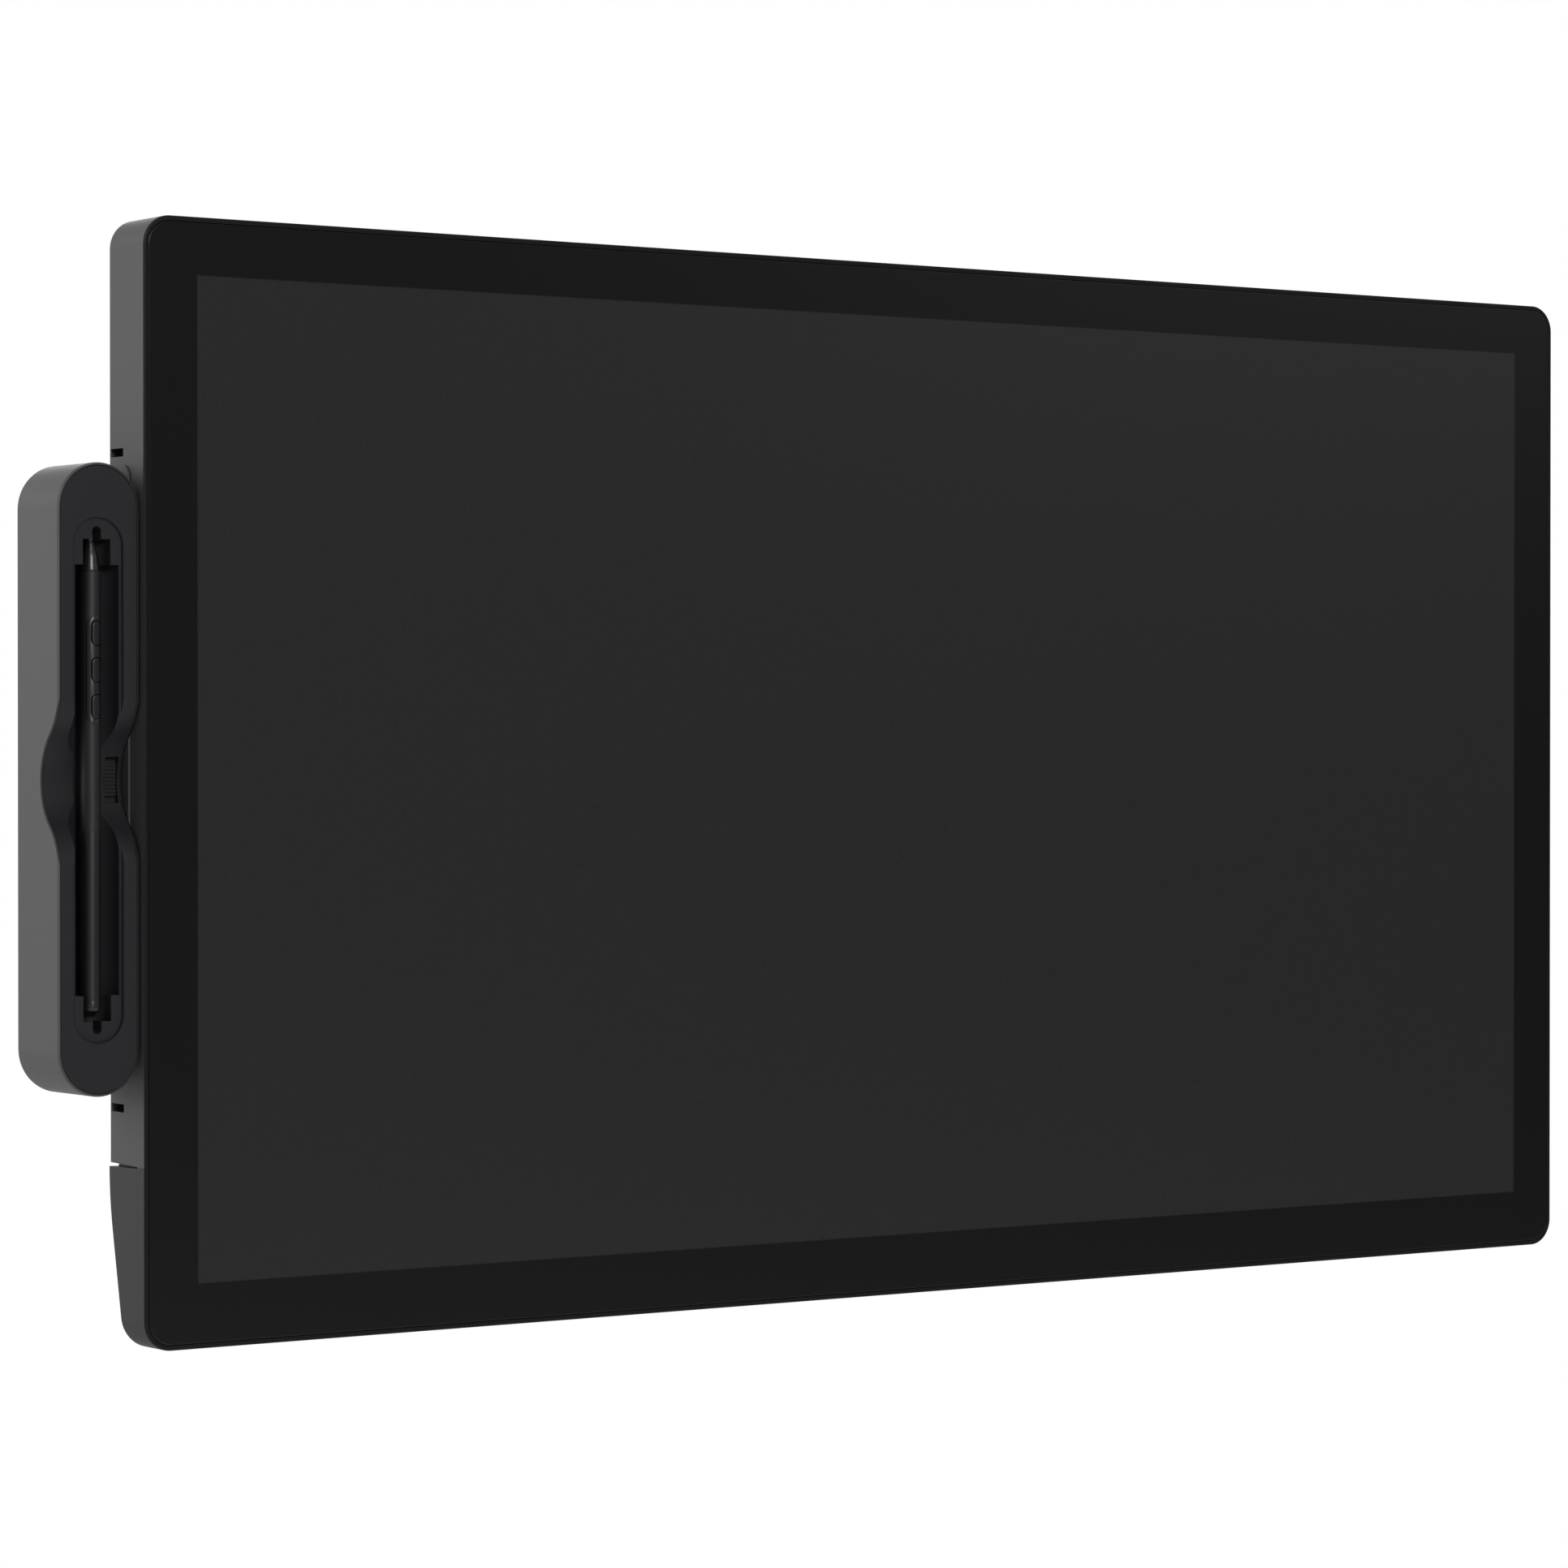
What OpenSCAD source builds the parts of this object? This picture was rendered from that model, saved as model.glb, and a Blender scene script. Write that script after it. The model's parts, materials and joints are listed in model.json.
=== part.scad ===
// Pen display: a drawing tablet with a built-in 27 inch screen, a pen tray on its left side and a pen.
// Millimetres. X to the right, Y to the back, Z up.
// The origin is the centre of the rear mounting face. A depth is measured back from the glass front.

/* [Body] */
// Width of the display body
body_w = 637; // [632:1:642]
// Height of the display body
body_h = 377; // [374:1:382]
// Depth from the glass front to the rear mounting face
body_t = 31; // [30.5:0.25:32]
// Depth of the side walls
side_d = 24.8; // [24.4:0.2:25.2]
// Corner radius of the body seen from the front
corner_r = 10; // [8:0.5:12]
// Wall thickness of the covers
wall = 2; // [1.8:0.1:2.2]
// Rounding where the side walls meet the back
edge_r = 1.4; // [1:0.1:1.8]
// Height of the seam between the rear cover and the lower cover
seam_z = -127.5; // [-129:0.5:-126]
// Opening of the seam at the front
seam_front = 0.4; // [0.3:0.1:0.6]
// Opening of the seam at the back
seam_back = 1.4; // [1:0.1:1.8]
// Lean of the lower cover's back below its curve
taper_angle = 11.6; // [10:0.2:12]
// Radius of the curve that starts the lean
taper_r = 107; // [100:1:112]
// Height of the leaning part above the body's lower edge
taper_h = 61; // [59:0.5:63]

/* [Screen] */
// Depth of the front frame
frame_t = 5; // [4.8:0.1:5.2]
// Width of the frame seen around the glass
frame_lip = 1.7; // [1.5:0.1:2]
// Bevel on the frame's front edge
frame_bevel = 0.4; // [0.3:0.1:0.6]
// Thickness of the cover glass
glass_t = 1.8; // [1.6:0.1:2]
// Width of the black border on either side of the picture
border_w = 20.15; // [19:0.05:24]
// Height of the black border above the picture
border_top = 19.45; // [18.5:0.05:24]
// Height of the black border below the picture
border_low = 21.85; // [20:0.05:26]
// Thickness of the touch layer
touch_t = 0.5; // [0.4:0.1:0.7]
// Thickness of the liquid crystal cell
cell_t = 2; // [1.6:0.1:2.2]
// Thickness of the backlight
backlight_t = 7; // [6.6:0.1:7.2]
// Thickness of the pen sensing board
sensor_t = 1.2; // [1:0.1:1.4]
// Sheet thickness of the chassis
chassis_t = 1.5; // [1.3:0.1:1.6]

/* [Back] */
// Width of the raised housing on the back
bulge_w = 430; // [426:1:434]
// Height of the raised housing
bulge_h = 226; // [224:1:228]
// Corner radius of the raised housing
bulge_r = 26; // [22:1:30]
// Edge rounding of the raised housing
bulge_edge = 4; // [3:0.5:4.5]
// How far the mounting pad stands above the raised housing
pad_rise = 0.6; // [0.4:0.1:0.8]
// Spacing of the four mounting holes
vesa_pitch = 100; // [75:25:100]
// Radius of the mounting holes
vesa_hole_r = 2; // [2:0.1:2.3]
// Side of the mounting pad
pad_w = 120; // [118:1:122]
// Distance of each fan from the middle
fan_x = 135; // [134:1:136]
// Height of the fan axes
fan_z = 20; // [19:0.5:21]
// Side of the fan housings
fan_w = 62; // [60:1:63]
// Radius of the fan rotors
rotor_r = 24; // [22:0.5:25]
// Blades on each rotor
rotor_blades = 17; // [13:1:19]
// Width of the port bay
bay_w = 150; // [146:1:154]
// Height of the port bay's ceiling
bay_top = -82; // [-83:0.5:-81.5]
// Distance from the side wall to the middle of each grip
grip_inset = 50.5; // [48:0.5:52]
// Width of the grips
grip_w = 36; // [34:1:38]
// Height of the grips
grip_h = 200; // [196:1:204]
// Width of the grip keys
key_w = 10; // [9:0.5:11]
// Height of the grip keys
key_h = 30; // [28:1:32]
// Step from one grip key to the next
key_step = 42; // [40:1:43]
// Distance of the power button from the middle
power_x = 120; // [100:1:140]

/* [Tray] */
// Width of the pen tray
tray_w = 30; // [29.6:0.1:30.4]
// Height of the pen tray
tray_h = 209; // [206:1:212]
// Height of the tray's middle above the body's middle
tray_z = 1.4; // [1:0.1:1.8]
// Depth of the tray's front face behind the glass front
tray_front = 1.5; // [1.2:0.1:1.8]
// Depth of the tray's back behind the glass front
tray_back = 32.9; // [32:0.1:33.5]
// Gap between the tray and the display's side wall
tray_gap = 0.8; // [0.7:0.05:0.95]
// Wall thickness of the tray
tray_wall = 1.8; // [1.6:0.1:2]
// Edge of the tray's shell seen around the insert
tray_rim = 0.8; // [0.7:0.1:0.9]
// Depth of the dip across the tray
dip_depth = 12.8; // [12.2:0.1:13]
// Half length of the dip
dip_len = 31; // [29:0.5:33]
// Height of the dip's middle
dip_z = 1; // [0.6:0.1:1.4]
// Width of the pen groove
groove_w = 16.2; // [15.8:0.1:16.6]
// Bevel around the rim of the groove
groove_bevel = 0.5; // [0.3:0.1:0.8]
// Length of the shallow recess around the groove
recess_h = 173; // [171:1:175]
// Depth of the shallow recess
recess_depth = 1.5; // [1.2:0.1:1.7]
// Length of the deep part of the groove
trough_h = 142; // [140:0.5:143]
// Depth of the groove's floor behind the tray front
trough_depth = 12.3; // [11.8:0.1:12.5]
// Width of the two cradles that hold the pen
cradle_w = 10.1; // [9.8:0.1:10.6]
// Room between the cone's end and the upper cradle's end
cradle_gap = 0.7; // [0.4:0.1:1]
// Width of the nib pockets
pocket_w = 3.2; // [3:0.1:3.6]
// Room between the nib and the end of its pocket
pocket_gap = 2.3; // [1.5:0.1:2.6]
// Travel of the latch each way
latch_travel = 1.6; // [1.2:0.1:1.8]

/* [Pen] */
// Diameter of the pen
pen_dia = 7; // [6.8:0.05:7.2]
// Depth of the pen's axis behind the glass front
pen_depth = 7.7; // [7.5:0.05:7.9]
// Height of the pen's back end
pen_low = -75.5; // [-76:0.1:-75]
// Height where the grip meets the rear barrel
pen_mid = -15.8; // [-18:0.1:-12]
// Height where the cone meets the grip
pen_shoulder = 70.1; // [69.5:0.1:70.4]
// Height of the cone's end
pen_cone_top = 80; // [79.5:0.1:80.2]
// How far the nib shows beyond the cone
nib_out = 2.6; // [2:0.1:3]
// Turn of the pen about its length
pen_roll = 12; // [0:1:24]
// Length of the pen's switch bezel
bezel_h = 36; // [35:0.1:37]
// Height of the bezel's middle
bezel_z = 37.3; // [37:0.1:37.6]
// Step from one pen button to the next
button_step = 12.1; // [11.8:0.1:12.3]
// Length of a pen button
button_h = 8.2; // [7.8:0.1:8.4]
// Width of a pen button
button_w = 3.9; // [3.6:0.1:4.1]
// Travel of a pen button
button_travel = 0.25; // [0.2:0.05:0.3]

/* [Hidden] */
$fn = 96;
// Fits
fit = 0.15;
slide_fit = 0.2;
run_fit = 0.06;
// Front frame and glass
glass_w = body_w - 2 * frame_lip;
glass_h = body_h - 2 * frame_lip;
glass_r = corner_r - frame_lip;
active_w = body_w - 2 * border_w;
active_h = body_h - border_top - border_low;
active_rise = (border_low - border_top) / 2;
panel_edge = 7;
panel_gap = 1;
panel_w = active_w + 2 * panel_edge;
panel_h = active_h + 2 * panel_edge;
window_w = panel_w + 2 * panel_gap;
window_h = panel_h + 2 * panel_gap;
// Depths of the layers behind the glass
touch_d = glass_t + touch_t;
cell_d = touch_d + cell_t;
backlight_d = cell_d + backlight_t;
sensor_d = backlight_d + sensor_t;
chassis_d = sensor_d + chassis_t;
// Chassis pan
pan_wall = 3;
pan_w = window_w + 2 * pan_wall;
pan_h = window_h + 2 * pan_wall;
flange_side_gap = 2.15;
flange_end_gap = 1;
flange_w = body_w - 2 * wall - 2 * flange_side_gap;
flange_h = body_h - 2 * wall - 2 * flange_end_gap;
flange_r = corner_r - wall - flange_side_gap;
flange_t = 1.5;
// Rear depths
bulge_d = body_t - pad_rise;
plate_d = side_d - wall;
roof_d = bulge_d - wall;
// Screws
screw_r = 1.25;
screw_hole_r = 1.4;
head_r = 2.8;
head_t = 1.2;
boss_r = 3.5;
cover_screw_x = body_w / 2 - 86.5;
cover_screw_top = body_h / 2 - 28.5;
cover_screw_low = seam_z + 15.5;
cover_screws_at = concat(
    [for (i = [-1:1]) [i * cover_screw_x, cover_screw_top]],
    [for (i = [-1, 1]) [i * cover_screw_x, cover_screw_low]]
);
cover_screw_len = 7.4;
lower_screw_x = body_w / 2 - 48.5;
lower_screw_z = seam_z - 12.5;
lower_screws_at = [for (i = [-1, -1 / 3, 1 / 3, 1]) [i * lower_screw_x, lower_screw_z]];
lower_screw_len = 7;
taper_z = taper_h - body_h / 2;
lower_head_d = lean_d(lower_screw_z) - head_t - 0.1;
chassis_screw_x = body_w / 2 - 68.5;
chassis_screws_at = [for (s = [-1, 1], i = [-2:2]) [i * chassis_screw_x / 2, s]];
chassis_screw_grip = 1.8;
// Boards
standoff_h = 3;
board_t = 1.6;
board_d = chassis_d + standoff_h;
board_top = board_d + board_t;
main_w = 180;
main_z0 = bay_top + 0.3;
main_z1 = -29;
side_board_w = 95;
side_board_h = 55;
side_board_x = 157;
side_board_z = -48;
board_screws_at = concat(
    [for (x = [-84, 84], z = [main_z0 + 7, main_z1 - 7]) [x, z]],
    [for (s = [-1, 1], x = [-40, 40], z = [-20, 20]) [s * side_board_x + x, side_board_z + z]]
);
// Mounting bracket
pad_r = 8;
pad_lip = 136;
leg_r = 4.5;
leg_x = 54;
leg_z = 22;
// Port bay
bay_wall = 1.5;
bay_low = -bulge_h / 2 + wall + 0.2;
bay_ceiling = bay_top - 0.2 - bay_wall;
// Sockets: middle, width, depth, corner radius
usb_c_x = [-60, -42];
usb_c_size = [9.2, 3.4];
hdmi_x = -16;
hdmi_size = [15.2, 5.8];
dp_x = 12;
dp_size = [16.2, 5];
usb_a_x = [38, 58];
usb_a_size = [13.2, 5.9];
socket_len = 12;
socket_wall = 0.4;
// Fans and heat sinks
fan_gap = 2.4;
fan_t = roof_d - chassis_d - fan_gap;
fan_wall = 1.2;
pin_r = 1.5;
sink_w = 60;
sink_h = 30;
sink_z = fan_z + fan_w / 2 + 1 + sink_h / 2;
sink_t = fan_t - 1;
fin_step = 4;
// Grilles
grille_lip = 1.5;
intake_w = 56;
exhaust_w = 60;
exhaust_h = 12;
exhaust_inset = 19;
exhaust_z = bulge_h / 2 - exhaust_inset;
slot_w = 2.4;
slot_step = 4.6;
// Grips and keys
grip_x = body_w / 2 - grip_inset;
grip_r = 14;
grip_wall = 1.8;
grip_edge = 4;
key_rise = 0.5;
key_lip = 1.5;
key_lip_t = 1.5;
key_board_t = 0.8;
key_board_w = key_w + 12;
key_board_h = 3 * key_step + key_h - 4;
key_travel = 0.8;
// Power button
power_d = 15;
power_w = 14;
power_h = 5;
power_rise = 0.4;
// Accessory slots in the side walls
slot_edge = 1.7;
slot_len = 8.6;
slot_d1 = side_d - slot_edge;
slot_d0 = slot_d1 - slot_len;
slot_h = 2.7;
slot_in = 4;
outer_slots_at = [110.25, -108.35];
tray_slots_at = [70, -68];
// Tray
tray_x = -body_w / 2 - tray_gap - tray_w / 2;
insert_w = tray_w - 2 * tray_rim - 2 * fit;
insert_h = tray_h - 2 * tray_rim - 2 * fit;
insert_t = 16;
insert_d = tray_front + insert_t;
dip_edge = 0.3;
dip_angle = 2 * atan((dip_depth + dip_edge) / dip_len);
dip_r = dip_len / (2 * sin(dip_angle));
groove_step = 0.9;
recess_w = groove_w + 2 * groove_step;
groove_z = dip_z + 0.2;
tongue_len = tray_gap + slot_in - 0.4;
bracket_d0 = 9.5;
bracket_d1 = tray_back - 1.9;
bracket_foot = 8;
bracket_h = tray_h - bracket_foot;
bracket_screw_d = bracket_d1 - 5;
bracket_x = -body_w / 2 - 0.05;
tray_screws_at = [46, -44];
nib_block_w = 18;
nib_block_h = 30;
nib_block_z = 47;
// Latch
latch_w = 4.5;
latch_h = 11.2;
latch_x = -body_w / 2 - 5;
latch_z = 1.2;
latch_pocket_w = 5;
latch_top = tray_front + dip_depth + 0.1;
latch_floor = latch_top + 1.4;
nose_h = 4;
nose_d0 = insert_d + 0.5;
nose_d1 = nose_d0 + 2;
// Pen
pen_r = pen_dia / 2;
pen_in = pen_r - 1;
core_r = pen_in - 0.1;
cradle_bottom = pen_depth + pen_r + 0.2;
cradle_top = pen_cone_top + cradle_gap;
cradle_low = pen_low - 2.8;
pocket_top = pen_cone_top + nib_out + pocket_gap;
pocket_low = cradle_low - 4.2;
nib_r = 0.9;
button_rise = 0.2;
button_in = core_r + button_travel + 0.1;
cap_h = 4;
cap_edge = 1.6;
cone_r = pen_r - 0.25;
cone_tip_r = 1.3;

// Depth behind the glass front as a Y position
function fy(d) = d - body_t;

// Depth of the lower cover's back at height z
function lean_d(z) =
    let (h = max(taper_z - z, 0), arc_h = taper_r * sin(taper_angle))
    side_d - taper_r + (h < arc_h
        ? sqrt(taper_r * taper_r - h * h)
        : taper_r * cos(taper_angle) - (h - arc_h) * tan(taper_angle));

// Front view outline pushed from depth d0 to depth d1
module slab(d0, d1) {
    translate([0, fy(d1), 0])
        rotate([90, 0, 0])
            linear_extrude(d1 - d0)
                children();
}

// Side view outline (depth, height) pushed from x0 to x1
module across(x0, x1) {
    translate([x0, -body_t, 0])
        rotate([90, 0, 90])
            linear_extrude(x1 - x0)
                children();
}

// Plan outline (x, depth) pushed from height z0 to height z1
module upright(z0, z1) {
    translate([0, -body_t, z0])
        linear_extrude(z1 - z0)
            children();
}

module round_rect(w, h, r) {
    square([w - 2 * r, h], center = true);
    square([w, h - 2 * r], center = true);
    for (x = [-1, 1], y = [-1, 1])
        translate([x * (w / 2 - r), y * (h / 2 - r)])
            circle(r);
}

module stadium(w, h) {
    square([w, h - w], center = true);
    for (y = [-1, 1])
        translate([0, y * (h - w) / 2])
            circle(w / 2);
}

// Cross section of a rounded plate: front bevel and rear rounding at its outer edge
module edge_section(r, t, rear, bevel) {
    difference() {
        union() {
            square([r, t - rear]);
            square([r - rear, t]);
            translate([r - rear, t - rear])
                intersection() {
                    circle(rear);
                    square(rear);
                }
        }
        polygon([[r - bevel, -0.01], [r + 0.01, -0.01], [r + 0.01, bevel]]);
    }
}

// Rounded plate with a rounded rear edge
module pillow(w, h, r, d0, d1, rear, bevel = 0.01) {
    for (c = [[1, -1, 0], [-1, -1, 90], [-1, 1, 180], [1, 1, 270]])
        translate([c[0] * (w / 2 - r), fy(d0), c[1] * (h / 2 - r)])
            rotate([-90, 0, 0])
                rotate(c[2])
                    rotate_extrude(angle = 90)
                        edge_section(r, d1 - d0, rear, bevel);
    for (s = [0, 1])
        mirror([s, 0, 0])
            translate([w / 2 - r, fy(d0), r - h / 2])
                linear_extrude(h - 2 * r)
                    edge_section(r, d1 - d0, rear, bevel);
    if (w > 2 * r + 0.01) {
        for (s = [0, 1])
            mirror([0, 0, s])
                translate([w / 2 - r, fy(d0), h / 2 - r])
                    rotate([0, -90, 0])
                        linear_extrude(w - 2 * r)
                            edge_section(r, d1 - d0, rear, bevel);
        slab(d0, d1)
            square([w - 2 * r, h - 2 * r], center = true);
    }
}

// Round bar along Y
module bar(x, z, r, d0, d1) {
    translate([x, fy(d0), z])
        rotate([-90, 0, 0])
            cylinder(r = r, h = d1 - d0);
}

// Screw along Y with its head at the back
module screw(x, z, head_at, length) {
    bar(x, z, head_r, head_at, head_at + head_t);
    bar(x, z, screw_r, head_at - length, head_at + 0.1);
}

module cover_glass() {
    color("#1b1b1f")
        slab(0, glass_t)
            round_rect(glass_w - 2 * fit, glass_h - 2 * fit, glass_r - fit);
}

module front_frame() {
    color("#141415")
        difference() {
            pillow(body_w, body_h, corner_r, 0, frame_t, 0.2, frame_bevel);
            slab(-1, glass_t)
                round_rect(glass_w, glass_h, glass_r);
            slab(-1, frame_t + 1)
                translate([0, active_rise])
                    square([window_w, window_h], center = true);
            for (p = chassis_screws_at)
                bar(p[0], chassis_screw_z(p[1]), screw_hole_r, glass_t + 1, frame_t + 1);
        }
}

function chassis_screw_z(s) = s * (flange_h / 2 - 2.2);

module panel_layer(d0, d1, trim) {
    slab(d0, d1)
        translate([0, active_rise])
            square([panel_w - trim, panel_h - trim], center = true);
}

module touch_sensor() {
    color("#2a2d33")
        panel_layer(glass_t, touch_d, 0);
}

module lcd_panel() {
    color("#20242c")
        panel_layer(touch_d, cell_d, 2);
}

module backlight_unit() {
    color("#d8dce0")
        panel_layer(cell_d, backlight_d, 2);
}

module pen_sensor_board() {
    color("#2f6b45")
        panel_layer(backlight_d, sensor_d, 4);
}

module chassis_plate() {
    color("#b4b7ba")
        difference() {
            union() {
                slab(frame_t, chassis_d)
                    translate([0, active_rise])
                        square([pan_w, pan_h], center = true);
                slab(frame_t, frame_t + flange_t)
                    round_rect(flange_w, flange_h, flange_r);
                for (p = cover_screws_at)
                    bar(p[0], p[1], boss_r, chassis_d - 0.5, plate_d);
                for (p = lower_screws_at)
                    bar(p[0], p[1], boss_r, chassis_d - 0.5, lower_head_d - 2);
                for (p = board_screws_at)
                    bar(p[0], p[1], 3, chassis_d - 0.5, board_d);
            }
            slab(frame_t - 1, sensor_d)
                translate([0, active_rise])
                    square([window_w, window_h], center = true);
            for (p = cover_screws_at)
                bar(p[0], p[1], screw_hole_r, plate_d - 7, plate_d + 1);
            for (p = lower_screws_at)
                bar(p[0], p[1], screw_hole_r, lower_head_d - 7.5, lower_head_d);
            for (p = board_screws_at)
                bar(p[0], p[1], screw_hole_r, board_d - 2.6, board_d + 1);
            for (p = chassis_screws_at)
                bar(p[0], chassis_screw_z(p[1]), screw_hole_r, frame_t - 1, frame_t + flange_t + 1);
        }
}

module chassis_screws() {
    color("#8d9094")
        for (p = chassis_screws_at)
            screw(p[0], chassis_screw_z(p[1]), frame_t + flange_t, flange_t + chassis_screw_grip);
}

// Outer slots take accessories, inner ones take the tray's tongues on either side
module side_slot(z, d0, d1, h) {
    for (s = [-1, 1])
        translate([s * body_w / 2, fy((d0 + d1) / 2), z])
            cube([2 * slot_in, d1 - d0, h], center = true);
}

// Wedge shaped seam between the two covers
module seam_cut() {
    across(-body_w, body_w)
        polygon([
            [frame_t - 1, seam_z + seam_front / 2], [side_d + 1, seam_z + seam_back / 2],
            [side_d + 1, seam_z - seam_back / 2], [frame_t - 1, seam_z - seam_front / 2]
        ]);
}

module power_hole(w, h, z0, z1) {
    upright(z0, z1)
        translate([power_x, power_d])
            rotate(90)
                stadium(h, w);
}

module rear_cover() {
    color("#625f61")
        difference() {
            union() {
                difference() {
                    pillow(body_w, body_h, corner_r, frame_t, side_d, edge_r);
                    slab(frame_t - 1, plate_d)
                        round_rect(body_w - 2 * wall, body_h - 2 * wall, corner_r - wall);
                }
                pillow(bulge_w, bulge_h, bulge_r, plate_d, bulge_d, bulge_edge);
                for (s = [-1, 1])
                    upright(body_h / 2 - wall - 3, body_h / 2 - wall / 2)
                        translate([power_x + s * 13, power_d])
                            square([4, 8], center = true);
            }
            slab(plate_d - 1, roof_d)
                round_rect(bulge_w - 2 * wall, bulge_h - 2 * wall, bulge_r - wall);
            below_seam();
            seam_cut();
            slab(roof_d - 1, bulge_d + 1)
                round_rect(pad_w + 2 * slide_fit, pad_w + 2 * slide_fit, pad_r);
            for (s = [-1, 1]) {
                slab(roof_d - 1, bulge_d + 1)
                    translate([s * fan_x, fan_z])
                        square(intake_w, center = true);
                slab(roof_d - 1, bulge_d + 1)
                    translate([s * fan_x, exhaust_z])
                        square([exhaust_w, exhaust_h], center = true);
            }
            translate([-bay_w / 2, fy(side_d), -bulge_h / 2 - 1])
                cube([bay_w, body_t, bay_top + bulge_h / 2 + 1]);
            for (p = cover_screws_at) {
                bar(p[0], p[1], screw_hole_r, plate_d - 1, side_d + 1);
                bar(p[0], p[1], head_r + slide_fit, side_d - head_t, side_d + 1);
            }
            for (z = outer_slots_at)
                side_slot(z, slot_d0, slot_d1, slot_h);
            for (z = tray_slots_at)
                side_slot(z, slot_d0, slot_d1, slot_h);
            side_slot(latch_z, nose_d0 - slide_fit, nose_d1 + slide_fit, nose_h + 2 * latch_travel + 0.8);
            power_hole(power_w + 2 * slide_fit, power_h + 2 * slide_fit, body_h / 2 - wall - 1, body_h / 2 + 1);
        }
}

// Side view of the lower cover: a curve that runs into a straight lean
module taper_2d(inset) {
    r = taper_r - inset;
    c = side_d - taper_r;
    run = taper_h - r * sin(taper_angle) + 5;
    low = taper_z - r * sin(taper_angle) - run;
    polygon(concat(
        [[c + r, body_h]],
        [for (i = [0:6]) [c + r * cos(i * taper_angle / 6), taper_z - r * sin(i * taper_angle / 6)]],
        [[c + r * cos(taper_angle) - run * tan(taper_angle), low], [-5, low], [-5, body_h]]
    ));
}

// Everything below the seam
module below_seam() {
    translate([-body_w, -body_t, seam_z - body_h])
        cube([2 * body_w, 2 * body_t, body_h]);
}

module lower_cover() {
    tongue = 5;
    color("#423f41")
        difference() {
            union() {
                difference() {
                    intersection() {
                        slab(frame_t, side_d + 1)
                            round_rect(body_w, body_h, corner_r);
                        across(-body_w, body_w)
                            taper_2d(0);
                        below_seam();
                    }
                    intersection() {
                        slab(frame_t - 1, side_d)
                            round_rect(body_w - 2 * wall, body_h - 2 * wall, corner_r - wall);
                        across(-body_w, body_w)
                            taper_2d(wall);
                    }
                    seam_cut();
                }
                for (s = [-1, 1]) {
                    translate([s * (body_w / 2 - wall - 0.9), fy((frame_t + plate_d - 0.3) / 2), seam_z])
                        cube([1.2, plate_d - 0.3 - frame_t, 2 * tongue], center = true);
                    translate([s * (body_w / 2 - wall - 0.6), fy((frame_t + plate_d - 1) / 2), seam_z - 3])
                        cube([1.8, plate_d - 1 - frame_t, 2 * tongue - 6], center = true);
                }
                translate([0, fy(plate_d - 0.9), seam_z])
                    cube([body_w - 2 * wall - 0.6, 1.2, 2 * tongue], center = true);
                translate([0, fy(plate_d - 0.6), seam_z - 3])
                    cube([body_w - 2 * wall - 0.6, 1.6, 2 * tongue - 6], center = true);
            }
            for (p = lower_screws_at) {
                bar(p[0], p[1], screw_hole_r, lower_head_d - 4, side_d + 1);
                bar(p[0], p[1], head_r + slide_fit, lower_head_d, side_d + 1);
            }
        }
}

module cover_screws() {
    color("#3a3a3c") {
        for (p = cover_screws_at)
            screw(p[0], p[1], side_d - head_t, cover_screw_len);
        for (p = lower_screws_at)
            screw(p[0], p[1], lower_head_d, lower_screw_len);
    }
}

module vesa_bracket() {
    color("#55575a")
        difference() {
            union() {
                slab(roof_d - 2.2, roof_d - 0.2)
                    round_rect(pad_lip, pad_lip, pad_r);
                slab(roof_d - 1, body_t)
                    round_rect(pad_w, pad_w, pad_r);
                for (x = [-1, 1], z = [-1, 1]) {
                    bar(x * leg_x, z * leg_z, leg_r, chassis_d, roof_d - 1);
                    bar(x * vesa_pitch / 2, z * vesa_pitch / 2, leg_r, roof_d - 6, roof_d - 1);
                }
            }
            for (x = [-1, 1], z = [-1, 1])
                bar(x * vesa_pitch / 2, z * vesa_pitch / 2, vesa_hole_r, roof_d - 7, body_t + 1);
        }
}

module main_board() {
    color("#1f5a3a")
        difference() {
            union() {
                slab(board_d, board_top)
                    translate([0, (main_z0 + main_z1) / 2])
                        square([main_w, main_z1 - main_z0], center = true);
                slab(board_top - 0.1, board_top + 2.2)
                    translate([-20, -52])
                        square([26, 26], center = true);
                slab(board_top - 0.1, board_top + 1.4)
                    for (x = [14, 32, 50])
                        translate([x, -50])
                            square([12, 9], center = true);
            }
            for (p = board_screws_at)
                bar(p[0], p[1], screw_hole_r, board_d - 1, board_top + 1);
        }
}

module side_board(s) {
    difference() {
        union() {
            slab(board_d, board_top)
                translate([s * side_board_x, side_board_z])
                    square([side_board_w, side_board_h], center = true);
            slab(board_top - 0.1, board_top + 4)
                for (x = [-18, 0, 18])
                    translate([s * side_board_x + x, side_board_z + 4])
                        square([11, 11], center = true);
            slab(board_top - 0.1, board_top + 3)
                translate([s * side_board_x, side_board_z - 20])
                    square([40, 6], center = true);
        }
        for (p = board_screws_at)
            bar(p[0], p[1], screw_hole_r, board_d - 1, board_top + 1);
    }
}

module backlight_board() {
    color("#1f5a3a")
        side_board(-1);
}

module pen_controller_board() {
    color("#1f5a3a")
        side_board(1);
}

module board_screws() {
    color("#8d9094")
        for (p = board_screws_at)
            screw(p[0], p[1], board_top, 3.8);
}

// Socket opening in the ceiling of the port bay
module socket_hole(x, size) {
    translate([x, fy(board_top + size[1] / 2), bay_ceiling + bay_wall / 2])
        cube([size[0] + 2 * slide_fit, size[1] + 2 * slide_fit, bay_wall + 1], center = true);
}

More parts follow.
